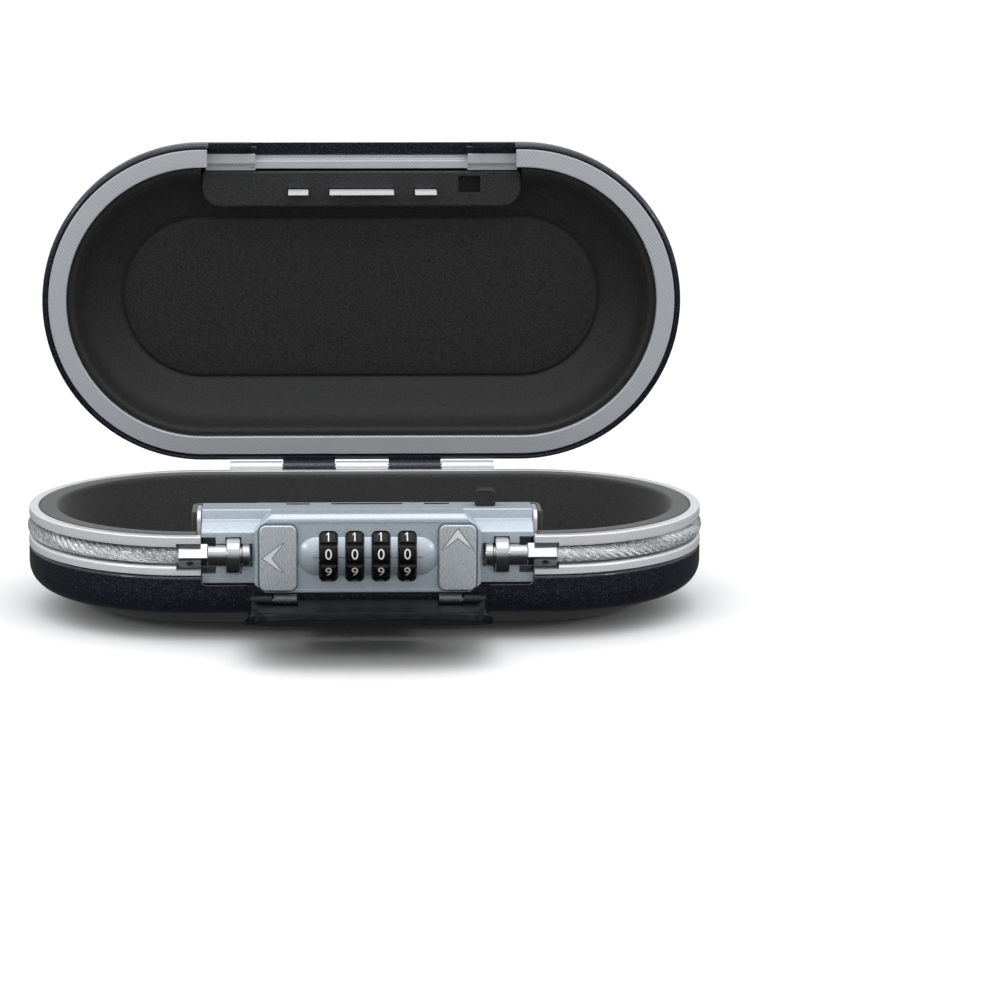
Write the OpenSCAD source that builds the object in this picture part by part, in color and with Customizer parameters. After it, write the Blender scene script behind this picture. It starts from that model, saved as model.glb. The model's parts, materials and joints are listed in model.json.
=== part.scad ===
// Portable combination safe: two racetrack shells, a tether cable in a groove round the base,
// a four-dial lock in the front and a cover that folds down in front of the lock.
// Millimetres. The origin is the centre of the underside, +X right, +Y to the back, +Z up.
// Lid and cover are drawn closed and then swung open about their hinges.

/* [Pose] */
// How far the lid stands open, degrees
lid_open = 90; // [0:1:90]
// How far the cover over the lock is folded down, degrees
cover_open = 90; // [0:1:90]

/* [Case] */
// Length over the round ends
case_l = 240; // [225:1:300]
// Depth from front to back, which is also the diameter of the round ends
case_d = 120; // [116:1:140]
// Wall of both shells
wall = 2; // [1.6:0.1:2.4]
// Height of the base shell
base_h = 23.6; // [23:0.1:26]
// Height of the lid shell
lid_h = 22.8; // [22:0.1:26]
// Gap between the base and the closed lid
lid_gap = 0.2; // [0.1:0.1:0.5]
// How far the flat underside is set in from the side
flat_inset = 28.5; // [24:0.5:32]
// Slope of the underside outside the flat, degrees
bottom_slope = 21.8; // [18:0.2:24]
// Radius of the rounded edge
edge_r = 8.5; // [7:0.5:9]

/* [Cable] */
// Diameter of the clear jacket
cable_d = 6; // [5.6:0.1:6.4]
// Diameter of the steel rope inside it
rope_d = 4.4; // [3.6:0.1:4.6]
// How far the cable stands proud of the case
cable_proud = 0.6; // [0:0.1:1]
// Height of the lip below the groove
lower_lip = 3.2; // [3:0.1:4]
// Height of the lip above the groove
upper_lip = 3.8; // [3.6:0.1:5]
// Diameter of the collar on each end fitting
collar_d = 12.3; // [11:0.1:12.6]
// Length of the collar
collar_l = 4.8; // [4:0.1:5.4]
// Diameter of the tip and of the neck
neck_d = 8; // [7:0.1:8.4]
// Length of the neck between collar and block
neck_l = 6.2; // [5:0.1:7]
// Length of the tip
tip_l = 3; // [2.8:0.1:3.4]
// Side of the square clamp block
block_side = 6.2; // [6:0.1:6.4]
// Length of the clamp block
block_l = 10.2; // [9:0.1:12]

/* [Lock] */
// Width of the housing that carries the dials
lock_w = 77; // [76:0.5:80]
// How far the plates that hold the cable ends reach past the necks of the fittings
plate_past = 2.3; // [1.8:0.1:3]
// Depth of the lock
lock_depth = 22.5; // [22.5:0.1:25]
// Height of the housing below the cable
lock_down = 12.7; // [12.4:0.1:13.2]
// Height of the housing above the cable
lock_up = 14.5; // [14.3:0.1:15.5]
// Wall of the housing
lock_wall = 1.8; // [1.6:0.1:2]
// Diameter of the dials
dial_d = 20.6; // [19:0.1:21]
// Width of a dial
dial_w = 6.1; // [5:0.1:6.2]
// Distance from dial to dial
dial_pitch = 8.9; // [8.8:0.1:9.1]
// Number of dials
dial_count = 4; // [4]
// Diameter of the raised pod round the dials
pod_d = 16.1; // [15:0.1:17]
// Diameter of the spindle
spindle_d = 3; // [2.6:0.1:3.2]
// Width of the two buttons
button_w = 12.5; // [11:0.1:13]
// Height of the two buttons
button_h = 22.5; // [20:0.1:23]
// How far the buttons stand proud
button_proud = 1.5; // [1:0.1:1.6]
// Travel of the button that frees the cable
cable_travel = 2.5; // [2:0.1:2.6]
// Travel of the button that frees the lid
lid_travel = 3; // [2.8:0.1:3]

/* [Cover] */
// Width of the cover
cover_w = 81; // [80:0.5:83]
// Thickness of the cover
cover_t = 1.8; // [1.5:0.1:2]
// Depth of the rim along its sides
cover_rim = 3.8; // [3:0.1:4]

/* [Lining] */
// Thickness of the lining in the base
base_lining = 2.5; // [2:0.1:3]
// Thickness of the lining in the lid
lid_lining = 3; // [2:0.1:3.4]
// Width of the metal rim in the lid
rim_w = 6.8; // [5:0.1:7]
// Thickness of that rim
rim_t = 2.3; // [2:0.1:2.6]

/* [Hinge] */
// Radius of the lid hinge knuckles
knuckle_r = 2.5; // [2.2:0.1:3]
// Length of one lid hinge knuckle
knuckle_l = 20; // [14:1:22]
// Diameter of the lid hinge pin
hinge_pin_d = 2.4; // [2:0.1:2.6]
// Diameter of the cover hinge pins
cover_pin_d = 2; // [1.6:0.1:2.2]

/* [Hidden] */
$fn = 48;
// Clearances: between lining or inner parts, of a slide, of a running pin
gap = 0.3;
slide_fit = 0.2;
pin_fit = 0.05;
arc_steps = 10;

// Case
end_r = case_d / 2;
straight = case_l - case_d;
groove_w = cable_d + 2 * slide_fit;
channel_h = lower_lip + groove_w + upper_lip;
parting_z = base_h + channel_h;
lid_z = parting_z + lid_gap;
case_h = lid_z + lid_h;
front_y = -end_r;
flat_r = end_r - flat_inset;
edge_x = end_r - edge_r;
edge_z = (edge_r + (edge_x - flat_r) * sin(bottom_slope)) / cos(bottom_slope);

// Cable
cable_z = base_h + lower_lip + groove_w / 2;
cable_r = end_r + cable_proud - cable_d / 2;
groove_floor = cable_r - cable_d / 2 - slide_fit;
block_reach = block_side / sqrt(2);

// End fittings, measured outwards from the housing
lock_half = lock_w / 2;
tip_x = lock_half + 1.3;
undercut_l = 0.4;
collar_x = tip_x + tip_l + undercut_l;
neck_x = collar_x + collar_l;
block_x = neck_x + neck_l;
block_end = block_x + block_l;
rope_end = block_x + 1.8;
blade_slot = 2.6;

// Channel
channel_in = groove_floor - 2;
step_r = end_r - 3.5;
step_h = 2;
skirt_h = 2.6;

// Lock
face_y = front_y + 0.5;
plate_half = block_x + plate_past;
plate_y = front_y + 2.8;
lock_z0 = cable_z - lock_down;
lock_z1 = cable_z + lock_up;
lock_back = face_y + lock_depth;
back_plate_t = 2;
cavity_y0 = face_y + lock_wall;
cavity_y1 = lock_back - back_plate_t;
cavity_z0 = lock_z0 + 2;
cavity_z1 = lock_z1 - 2;
cavity_half = lock_half - lock_wall;
plate_z0 = cable_z - 9.8;
plate_z1 = cable_z + 8;
side_top_y = plate_y + 7;
top_chamfer = 2.3;
standoff_r = 4;
corner_boss = [cavity_half - 2.4, 2.2];
boss_low_z = cavity_z0 + corner_boss[1] - gap;
boss_high_z = cavity_z1 - corner_boss[1] + gap;
boss_l = 7;
screw_d = 2.5;

// Dials, their cams and the bars behind them
dial_r = dial_d / 2;
dial_y = face_y + 6.1;
dial_first_x = -dial_pitch * (dial_count - 1) / 2;
cam_r = 5.5;
cam_w = 1.6;
gate_w = 2.4;
fence_w = 1.8;
bearing_x = -dial_first_x + dial_w / 2 + cam_w + 0.6;
bearing_w = 3;
fence_y = dial_y + dial_r + 0.9;
fence_t = 1.6;
fence_h = 2.4;
fence_z = cavity_z0 + gap;
finger_h = 1.4;
latch_y = cavity_y1 - 5.8;
latch_t = 2.5;
latch_z = cavity_z1 - 4.5;
latch_h = 4.2;
latch_end = corner_boss[0] - corner_boss[1] - lid_travel - 0.6;
latch_x = [-latch_end - 0.5, latch_end];

// Strike in the lid
strike_z = lock_z1 + 0.5;
tab_y = cavity_y1 - 2.25;
tab_t = 1.5;
tab_end = cable_z + 8.5;
tabs = [[1 - latch_end, 8.5 - latch_end], [-12, 12], [latch_end - 8.5, latch_end - 0.5]];
hook_depth = 2.8;
hook_z = latch_z + 1;
hook_h = 2.6;
strike_half = plate_half + 3.5;
strike_front = plate_y + 5;
strike_back = lock_back + 1.6;
strike_plate_z = strike_z + 2;
strike_plate_t = 1.5;
strike_plate_half = latch_end + 3.5;
strike_plate_y = [tab_y - 4.75, tab_y + 3];
strike_screw_x = 16;
strike_screw_y = tab_y - 2.6;

// Buttons and what they move
button_x = lock_half - button_w / 2 - 1.75;
button_z = cable_z - 0.3;
button_edge = 0.6;
lever_x = -button_x + 0.5;
lever_z = cable_z - 1;
lever_arm = 7.2;
lever_w = 4;
lever_t = 1.6;
lever_y = cavity_y0 + 3.9;
lever_pin_d = 2;
pivot_d = 2.4;
bolt_y = [cavity_y0 + 1, cavity_y0 + 2.4];
bolt_h = 3;
bolt_post_x = -lock_half + 2.2;
bolt_post_w = 2;
bolt_reach = 3;
slide_y = cavity_y0 + 1.1;
slide_t = 1.8;
anchor_head = 1.5;
slide_x = [bearing_x + bearing_w + 2.9, cavity_half - anchor_head - 0.7];
standoff = [slide_x[0] + 5.5, front_y + 13];
ramp_x = slide_x[0] + 3;
ramp_z = cable_z + 2.8;
ramp_pin_d = 2;
spring_x = button_x;

// Hinges
hinge_y = end_r + knuckle_r + gap;
hinge_z = (parting_z + lid_z) / 2;
hinge_knuckles = 5;
cover_hinge = [front_y - 2.3, cable_z - 14.8];
lug_r = 2;
lug_x = 28;
lug_w = 8;

// Cover outline seen from the end, bottom to top, closed
cover_line = [
    [cover_hinge[0] - 1.6, cover_hinge[1] - 1.8],
    [front_y - 6.4, cable_z - 7.4],
    [front_y - 6.4, cable_z + 9.4],
    [front_y + 3.5, cable_z + 23.5]
];
cover_arch_r = 230;

// Port plug
plug_x = lock_half + 2;
plug_y = lock_back - 7;
plug_size = [7, 5, 6];
plug_stem_d = 3.2;
plug_stem_l = 7;

function reversed(points) = [for (i = [len(points) - 1 : -1 : 0]) points[i]];

function arc(centre, r, from, to) = [
    for (i = [0 : arc_steps])
        let (a = from + (to - from) * i / arc_steps)
        centre + r * [cos(a), sin(a)]
];

// A surface parallel to the outside of a shell, from the middle of its flat to its rim
function shell_line(inset, rim) = concat(
    [[0, inset], [flat_r - inset * tan(bottom_slope / 2), inset]],
    arc([edge_x, edge_z], edge_r - inset, bottom_slope - 90, 0),
    [[end_r - inset, rim]]
);

function shell_wall(inset, thickness, rim) = concat(
    shell_line(inset, rim),
    reversed(shell_line(inset + thickness, rim))
);

function shell_fill(inset, rim) = concat(shell_line(inset, rim), [[0, rim]]);

function rounded(w, h, r) = concat(
    arc([w / 2 - r, h / 2 - r], r, 0, 90),
    arc([r - w / 2, h / 2 - r], r, 90, 180),
    arc([r - w / 2, r - h / 2], r, 180, 270),
    arc([w / 2 - r, r - h / 2], r, 270, 360)
);

// The end outline of the cover, moved inwards by a distance
function edge_normal(a, b) = let (d = (b - a) / norm(b - a)) [d[1], -d[0]];

function cover_inset(t) = let (
    n = [for (i = [0 : 2]) edge_normal(cover_line[i], cover_line[i + 1])]
) [
    for (i = [0 : 3])
        let (before = n[max(i - 1, 0)], after = n[min(i, 2)])
        cover_line[i] + t * (before + after) / (1 + before * after)
];

function dial_x(i) = dial_first_x + i * dial_pitch;

// Sweep a section of the wall round the racetrack
module racetrack() {
    for (side = [-1, 1]) {
        translate([side * straight / 2, 0, 0])
            rotate([0, 0, -90 * side])
                rotate_extrude(angle = 180) children();
        mirror([0, side < 0 ? 1 : 0, 0])
            rotate([90, 0, 90]) linear_extrude(straight, center = true) children();
    }
}

// A box given by its lowest and highest corners
module block(low, high) {
    translate(low) cube(high - low);
}

// A round bar along X, Y or Z
module bar_x(at, d, l) {
    translate(at) rotate([0, 90, 0]) cylinder(d = d, h = l);
}

module bar_y(at, d, l) {
    translate(at) rotate([-90, 0, 0]) cylinder(d = d, h = l);
}

module bar_z(at, d, l) {
    translate(at) cylinder(d = d, h = l);
}

// An end outline in Y and Z, drawn out along X
module along_x(w) {
    rotate([90, 0, 90]) linear_extrude(w, center = true) children();
}

// A front outline in X and Z, drawn back along Y
module along_y(y0, y1) {
    translate([0, y1, 0]) rotate([90, 0, 0]) linear_extrude(y1 - y0) children();
}

module lid_side() {
    translate([0, 0, case_h]) mirror([0, 0, 1]) children();
}

module swing_lid() {
    translate([0, hinge_y, hinge_z])
        rotate([-lid_open, 0, 0])
            translate([0, -hinge_y, -hinge_z]) children();
}

module swing_cover() {
    translate([0, cover_hinge[0], cover_hinge[1]])
        rotate([cover_open, 0, 0])
            translate([0, -cover_hinge[0], -cover_hinge[1]]) children();
}

// Pan-head screw along Z, its head at the top
module screw(d, l, head_d, head_h) {
    cylinder(d = d, h = l);
    translate([0, 0, l]) cylinder(d = head_d, h = head_h);
}

// Round wire wound along Z, as one tube with six sides
module coil_spring(d, wire, l, turns) {
    sides = 6;
    steps = 12 * turns;
    pitch = (l - wire) / turns;
    ring = [
        for (i = [0 : steps], k = [0 : sides - 1])
            let (
                a = 360 * turns * i / steps,
                b = 360 * k / sides,
                r = d / 2 - wire / 2 + wire / 2 * cos(b)
            )
            [r * cos(a), r * sin(a), wire / 2 + pitch * turns * i / steps + wire / 2 * sin(b)]
    ];
    skin = [
        for (i = [0 : steps - 1], k = [0 : sides - 1])
            let (n = (k + 1) % sides, p = i * sides)
            each [[p + k, p + sides + k, p + sides + n], [p + k, p + sides + n, p + n]]
    ];
    start_cap = [for (k = [1 : sides - 2]) [0, k, k + 1]];
    last = steps * sides;
    end_cap = [for (k = [1 : sides - 2]) [last, last + k + 1, last + k]];
    polyhedron(ring, concat(skin, start_cap, end_cap));
}

// Knuckles of the lid hinge, every second one, with the arm that joins them to a rim
module hinge_row(first, arm_z0, arm_z1) {
    for (i = [first : 2 : hinge_knuckles - 1]) {
        x = (i - hinge_knuckles / 2) * knuckle_l + gap / 2;
        bar_x([x, hinge_y, hinge_z], 2 * knuckle_r, knuckle_l - gap);
        block([x, end_r - 1, arm_z0], [x + knuckle_l - gap, hinge_y, arm_z1]);
    }
}

module hinge_bore() {
    w = hinge_knuckles * knuckle_l;
    bar_x([-w / 2 - 1, hinge_y, hinge_z], hinge_pin_d + 2 * pin_fit, w + 2);
}

// Base

module base_shell() {
    pocket_half = cover_w / 2 + 0.7;
    color([0.10, 0.10, 0.15]) difference() {
        union() {
            racetrack() polygon(shell_wall(0, wall, base_h));
            for (side = [-1, 1]) {
                intersection() {
                    bar_z([side * standoff[0], standoff[1], 0], 2 * standoff_r, lock_z0);
                    racetrack() polygon(shell_fill(0, base_h));
                }
                translate([side * lug_x - lug_w / 2, 0, 0]) {
                    bar_x([0, cover_hinge[0], cover_hinge[1]], 2 * lug_r, lug_w);
                    block(
                        [0, cover_hinge[0], cover_hinge[1] - lug_r],
                        [lug_w, front_y + wall - 0.4, cover_hinge[1] + lug_r]
                    );
                }
            }
        }
        block([-lock_half - slide_fit, front_y - 1, lock_z0 - slide_fit],
            [lock_half + slide_fit, front_y + 9, base_h + 1]);
        block([-plate_half - slide_fit, front_y - 1, plate_z0 - slide_fit],
            [plate_half + slide_fit, front_y + 9, base_h + 1]);
        for (x = [[-pocket_half, -lug_x - lug_w / 2], [lug_w / 2 - lug_x, lug_x - lug_w / 2],
                [lug_x + lug_w / 2, pocket_half]])
            block([x[0], front_y - 1, 0], [x[1], front_y + 1, base_h]);
        for (side = [-1, 1]) {
            bar_z([side * standoff[0], standoff[1], 0], screw_d + 2 * slide_fit, lock_z0 + 1);
            bar_z([side * standoff[0], standoff[1], 0], 6, lock_z0 - 5);
            bar_x([side * lug_x - lug_w / 2 - 1, cover_hinge[0], cover_hinge[1]],
                cover_pin_d + 2 * pin_fit, lug_w + 2);
        }
    }
}

module cable_channel() {
    lock_gap = plate_half + slide_fit;
    block_room = block_reach + slide_fit;
    color([0.80, 0.81, 0.83]) difference() {
        union() {
            racetrack() polygon([
                [end_r, base_h],
                [end_r, base_h + lower_lip - 0.6],
                [end_r - 0.6, base_h + lower_lip],
                [groove_floor, base_h + lower_lip],
                [groove_floor, parting_z - upper_lip],
                [end_r - 0.8, parting_z - upper_lip],
                [end_r - 0.2, parting_z - upper_lip + 0.6],
                [end_r - 0.2, parting_z],
                [step_r, parting_z],
                [step_r, parting_z - step_h],
                [channel_in, parting_z - step_h],
                [channel_in, base_h - skirt_h],
                [end_r - wall - slide_fit, base_h - skirt_h],
                [end_r - wall - slide_fit, base_h]
            ]);
            hinge_row(0, hinge_z - knuckle_r, parting_z);
        }
        block([-lock_gap, front_y - 1, 0], [lock_gap, lock_back, parting_z + 1]);
        block([-block_end - 0.6, front_y - 1, cable_z - block_room],
            [block_end + 0.6, block_room - cable_r, cable_z + block_room]);
        hinge_bore();
    }
}

module base_liner() {
    floor_in = wall + gap;
    out_r = channel_in - gap;
    in_r = out_r - base_lining;
    slope = tan(bottom_slope);
    floor_edge = flat_r - floor_in * tan(bottom_slope / 2);
    lining_edge = flat_r - (floor_in + base_lining) * tan(bottom_slope / 2);
    flange_z = parting_z - step_h + gap / 2;
    end_x = plate_half + 1.1;
    back_y = lock_back + 0.6;
    color([0.22, 0.22, 0.22]) {
        difference() {
            racetrack() polygon([
                [0, floor_in],
                [floor_edge, floor_in],
                [out_r, floor_in + (out_r - floor_edge) * slope],
                [out_r, flange_z],
                [step_r - gap, flange_z],
                [step_r - gap, parting_z],
                [in_r, parting_z],
                [in_r, floor_in + base_lining + (in_r - lining_edge) * slope],
                [lining_edge, floor_in + base_lining],
                [0, floor_in + base_lining]
            ]);
            block([-end_x, front_y - 1, 0], [end_x, back_y, parting_z + 1]);
        }
        intersection() {
            difference() {
                block([-end_x - base_lining, -in_r - 0.5, 0],
                    [end_x + base_lining, back_y + base_lining, lock_z1 - 1]);
                block([-end_x, -in_r - 1, -1], [end_x, back_y, lock_z1]);
            }
            racetrack() polygon([
                [0, floor_in],
                [floor_edge, floor_in],
                [in_r + 0.5, floor_in + (in_r + 0.5 - floor_edge) * slope],
                [in_r + 0.5, lock_z1],
                [0, lock_z1]
            ]);
        }
    }
}

// Lock housing and what is fixed to it

// Room in a side plate for the parts of one end fitting
module fitting_pocket() {
    ring_room = collar_d / 2 + slide_fit;
    neck_room = neck_d / 2 + slide_fit;
    block_room = block_reach + slide_fit;
    block([lock_half + 0.6, plate_y - 2, cable_z - neck_room],
        [plate_half + 1, neck_room - cable_r, cable_z + neck_room]);
    block([collar_x - gap, plate_y - 2, cable_z - ring_room],
        [neck_x + gap, ring_room - cable_r, cable_z + ring_room]);
    block([block_x - gap, plate_y - 2, cable_z - block_room],
        [plate_half + 1, block_room - cable_r, cable_z + block_room]);
}

module lock_casting() {
    along_x(lock_w) polygon([
        [face_y, lock_z0],
        [face_y, lock_z1 - top_chamfer],
        [face_y + top_chamfer, lock_z1],
        [cavity_y1, lock_z1],
        [cavity_y1, lock_z0]
    ]);
    along_x(2 * plate_half) polygon([
        [plate_y, plate_z0],
        [plate_y, plate_z1],
        [plate_y + 3.8, plate_z1 + 2.6],
        [side_top_y - 0.6, plate_z1 + 2.9],
        [side_top_y, lock_z1],
        [cavity_y1, lock_z1],
        [cavity_y1, plate_z0]
    ]);
    pod_half = bearing_x + bearing_w + 0.6 - pod_d / 2;
    bar_x([-pod_half, dial_y, cable_z], pod_d, 2 * pod_half);
    for (side = [-1, 1])
        translate([side * pod_half, dial_y, cable_z]) sphere(d = pod_d);
}

module lock_body() {
    color([0.62, 0.66, 0.70]) difference() {
        union() {
            difference() {
                lock_casting();
                block([-cavity_half, cavity_y0, cavity_z0], [cavity_half, cavity_y1 + 1, cavity_z1]);
                bar_x([-bearing_x, dial_y, cable_z], 2 * cam_r + 2.2, 2 * bearing_x);
                for (side = [-1, 1])
                    mirror([side < 0 ? 1 : 0, 0, 0])
                        block([lock_half, side_top_y + 2, plate_z0 - 1],
                            [plate_half - 2, cavity_y1 + 1, lock_z1 - 8]);
            }
            for (side = [-1, 1]) {
                mirror([side < 0 ? 1 : 0, 0, 0])
                    block([bearing_x, cavity_y0 - 0.5, cavity_z0 + 3],
                        [bearing_x + bearing_w, fence_y - gap, latch_z - gap]);
                bar_z([side * standoff[0], standoff[1], lock_z0], 6, 5);
                for (z = [boss_low_z, boss_high_z])
                    bar_y([side * corner_boss[0], cavity_y1 - boss_l, z], 2 * corner_boss[1], boss_l);
            }
            bar_y([lever_x, cavity_y0 - 0.5, lever_z], pivot_d, lever_y + lever_t - cavity_y0 + 1.1);
            block([lever_x + 4, cavity_y0 - 0.5, lever_z + 2],
                [lever_x + 5.4, cavity_y0 + 3.5, lever_z + 6]);
        }
        for (i = [0 : dial_count - 1])
            bar_x([dial_x(i) - dial_w / 2 - slide_fit, dial_y, cable_z], dial_d + 0.6,
                dial_w + 2 * slide_fit);
        bar_x([-bearing_x - bearing_w - 0.1, dial_y, cable_z], spindle_d + 2 * pin_fit,
            2 * (bearing_x + bearing_w) + 0.2);
        fitting_pocket();
        mirror([1, 0, 0]) fitting_pocket();
        block([-plate_half - 1, plate_y - 2, cable_z - 6.2],
            [0.5 - block_x + gap, 5 - cable_r, cable_z + 6.2]);
        for (side = [-1, 1]) {
            bar_z([side * standoff[0], standoff[1], lock_z0 - 1], screw_d + 2 * pin_fit, 7);
            for (z = [boss_low_z, boss_high_z])
                bar_y([side * corner_boss[0], cavity_y1 - boss_l - 1, z],
                    screw_d - 0.5 + 2 * pin_fit, boss_l + 2);
            mirror([side < 0 ? 1 : 0, 0, 0])
                block([cavity_half - 1, bolt_y[0] - slide_fit, cable_z - bolt_h / 2 - slide_fit],
                    [lock_half + 1, bolt_y[1] + slide_fit, cable_z + bolt_h / 2 + slide_fit]);
        }
        for (tab = tabs)
            block([tab[0] - gap, tab_y - tab_t / 2 - gap, cavity_z1 - 1],
                [tab[1] + gap, tab_y + tab_t / 2 + gap, lock_z1 + 1]);
        block([lever_x - 2 - cable_travel, face_y - 1, lever_z - lever_arm - 1.7],
            [lever_x + 1.2, cavity_y0 + 1, lever_z - lever_arm + 1.7]);
        block([button_x - 1.7, face_y - 1, cable_z - 2.7],
            [button_x + 1.7, cavity_y0 + 1, cable_z + 2.7 + lid_travel]);
        bar_z([plug_x, plug_y, lock_z1 - plug_stem_l - 0.5], plug_stem_d + 2 * pin_fit, plug_stem_l + 2);
    }
}

module lock_back_plate() {
    color([0.55, 0.57, 0.60]) difference() {
        block([-lock_half, cavity_y1, lock_z0], [lock_half, lock_back, lock_z1]);
        for (side = [-1, 1], z = [boss_low_z, boss_high_z]) {
            bar_y([side * corner_boss[0], cavity_y1 - 1, z], screw_d + 2 * pin_fit, 4);
            bar_y([side * corner_boss[0], lock_back - 1.3, z], 4.6, 2);
        }
    }
}

module lock_plate_screws() {
    color([0.40, 0.41, 0.43])
        for (side = [-1, 1], z = [boss_low_z, boss_high_z])
            translate([side * corner_boss[0], lock_back - 7.3, z])
                rotate([-90, 0, 0]) screw(screw_d - 0.5, 6, 4.2, 1.2);
}

module lock_screws() {
    head_z = lock_z0 - 5;
    color([0.40, 0.41, 0.43])
        for (side = [-1, 1])
            translate([side * standoff[0], standoff[1], head_z])
                mirror([0, 0, 1]) translate([0, 0, -9.5]) screw(screw_d, 9.5, 5.4, 1.8);
}

module dial_spindle() {
    color([0.70, 0.71, 0.73])
        bar_x([-bearing_x - bearing_w, dial_y, cable_z], spindle_d, 2 * (bearing_x + bearing_w));
}

// Leaf that clicks into the grips of the dials, held on the inside of the back plate
module detent_spring() {
    leaf_t = 0.5;
    nose_y = dial_y + dial_r + 0.2;
    leaf_y = cavity_y1 - leaf_t;
    color([0.72, 0.72, 0.70]) {
        block([dial_x(0) - dial_w / 2, leaf_y, cable_z - 3.5],
            [dial_x(dial_count - 1) + dial_w / 2, cavity_y1, cable_z + 4.5]);
        for (i = [0 : dial_count - 1])
            translate([dial_x(i), 0, 0])
                along_x(4) polygon([
                    [leaf_y + leaf_t / 2, cable_z - 3],
                    [nose_y, cable_z - 0.4],
                    [nose_y, cable_z + 0.4],
                    [leaf_y + leaf_t / 2, cable_z + 3]
                ]);
    }
}

// Dials

module dial(i) {
    grip_d = 2.8;
    grip_r = dial_r + 0.7;
    color([0.06, 0.06, 0.06]) difference() {
        bar_x([dial_x(i) - dial_w / 2, dial_y, cable_z], dial_d, dial_w);
        bar_x([dial_x(i) - dial_w, dial_y, cable_z], spindle_d + 2 * pin_fit, 2 * dial_w);
        for (k = [0 : 9])
            translate([dial_x(i) - dial_w, dial_y, cable_z])
                rotate([18 + 36 * k, 0, 0])
                    bar_x([0, grip_r, 0], grip_d, 2 * dial_w);
    }
}

// Two opposite gates, so that a cam goes on its dial either way round
module dial_cam(i) {
    x = dial_x(i) + dial_w / 2;
    gate_floor = 2.4;
    color([0.75, 0.62, 0.30]) difference() {
        bar_x([x, dial_y, cable_z], 2 * cam_r, cam_w);
        bar_x([x - 1, dial_y, cable_z], spindle_d + 2 * pin_fit, cam_w + 2);
        for (z = [-cam_r - 1, gate_floor])
            block([x - 1, dial_y - gate_w / 2, cable_z + z],
                [x + cam_w + 1, dial_y + gate_w / 2, cable_z + z + cam_r + 1 - gate_floor]);
    }
}

module dial_1() { dial(0); }
module dial_2() { dial(1); }
module dial_3() { dial(2); }
module dial_4() { dial(3); }
module dial_cam_1() { dial_cam(0); }
module dial_cam_2() { dial_cam(1); }
module dial_cam_3() { dial_cam(2); }
module dial_cam_4() { dial_cam(3); }

// Cable release

// Side view of a button cap: distance across and the way out from the face, chamfered at the front
function cap_section(size) = let (
    front = face_y - button_proud,
    back = face_y - 0.1,
    half = size / 2
) [
    [back, -half],
    [front + button_edge, -half],
    [front, button_edge - half],
    [front, half - button_edge],
    [front + button_edge, half],
    [back, half]
];

module button_cap(x) {
    translate([x, 0, button_z]) intersection() {
        along_y(face_y - button_proud, face_y - 0.1) polygon(rounded(button_w, button_h, 2.5));
        along_x(button_w) polygon(cap_section(button_h));
        linear_extrude(button_h, center = true)
            polygon([for (point = cap_section(button_w)) [point[1], point[0]]]);
    }
}

// The stem carries the pin that turns the lever
module cable_release_button() {
    pin_z = lever_z - lever_arm;
    stem_y = lever_y - gap;
    color([0.70, 0.74, 0.77]) {
        button_cap(-button_x);
        block([lever_x - 1, face_y - 0.2, pin_z - 1.5], [lever_x + 1, stem_y, pin_z + 1.5]);
        bar_y([lever_x, stem_y - 1, pin_z], lever_pin_d, lever_t + 1 + 2 * gap);
    }
}

module cable_release_lever() {
    slot_w = lever_pin_d + 2 * gap;
    reach = lever_arm + 2;
    color([0.66, 0.67, 0.69]) difference() {
        union() {
            block([lever_x - lever_w / 2, lever_y, lever_z - reach],
                [lever_x + lever_w / 2, lever_y + lever_t, lever_z + reach]);
            bar_y([lever_x, lever_y, lever_z], 6, lever_t);
        }
        bar_y([lever_x, lever_y - 1, lever_z], pivot_d + 2 * pin_fit, lever_t + 2);
        for (z = [lever_z - reach - 1, lever_z + lever_arm - 2.4])
            block([lever_x - slot_w / 2, lever_y - 1, z],
                [lever_x + slot_w / 2, lever_y + lever_t + 1, z + 5.4]);
    }
}

// Blade that stands in the slot of the left cable end, with a post and arm up to the lever
module cable_bolt() {
    pin_z = lever_z + lever_arm;
    color([0.60, 0.61, 0.63]) {
        block([-tip_x - bolt_reach + 1.0, bolt_y[0], cable_z - bolt_h / 2],
            [bolt_post_x + bolt_post_w, bolt_y[1], cable_z + bolt_h / 2]);
        block([bolt_post_x, bolt_y[0], cable_z - bolt_h / 2],
            [bolt_post_x + bolt_post_w, bolt_y[1], pin_z + 1.2]);
        block([bolt_post_x, bolt_y[0], pin_z - 1.2], [lever_x + 1.2, bolt_y[1], pin_z + 1.2]);
        bar_y([lever_x, bolt_y[1] - 1, pin_z], lever_pin_d, lever_y + lever_t - bolt_y[1] + 1 + gap);
    }
}

module cable_bolt_spring() {
    x0 = bolt_post_x + bolt_post_w + 0.05;
    l = lever_x + 4 - 0.05 - x0;
    color([0.55, 0.56, 0.58])
        translate([x0, (bolt_y[0] + bolt_y[1]) / 2, lever_z + 4.2])
            rotate([0, 90, 0]) coil_spring(2.6, 0.5, l, 5);
}

// Fixed blade that holds the right cable end, with a head inside the housing
module cable_anchor() {
    color([0.60, 0.61, 0.63]) {
        block([cavity_half - anchor_head, bolt_y[0], cable_z - bolt_h / 2],
            [tip_x + bolt_reach - 1.0, bolt_y[1], cable_z + bolt_h / 2]);
        block([cavity_half - anchor_head, bolt_y[0] - 0.6, cable_z - 3.5],
            [cavity_half, bolt_y[1] + 0.6, cable_z + 3.5]);
    }
}

// Lid release

module lid_release_button() {
    color([0.45, 0.50, 0.56]) {
        button_cap(button_x);
        block([button_x - 1.5, face_y - 0.2, cable_z - 2.5], [button_x + 1.5, slide_y, cable_z + 2.5]);
    }
}

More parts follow.
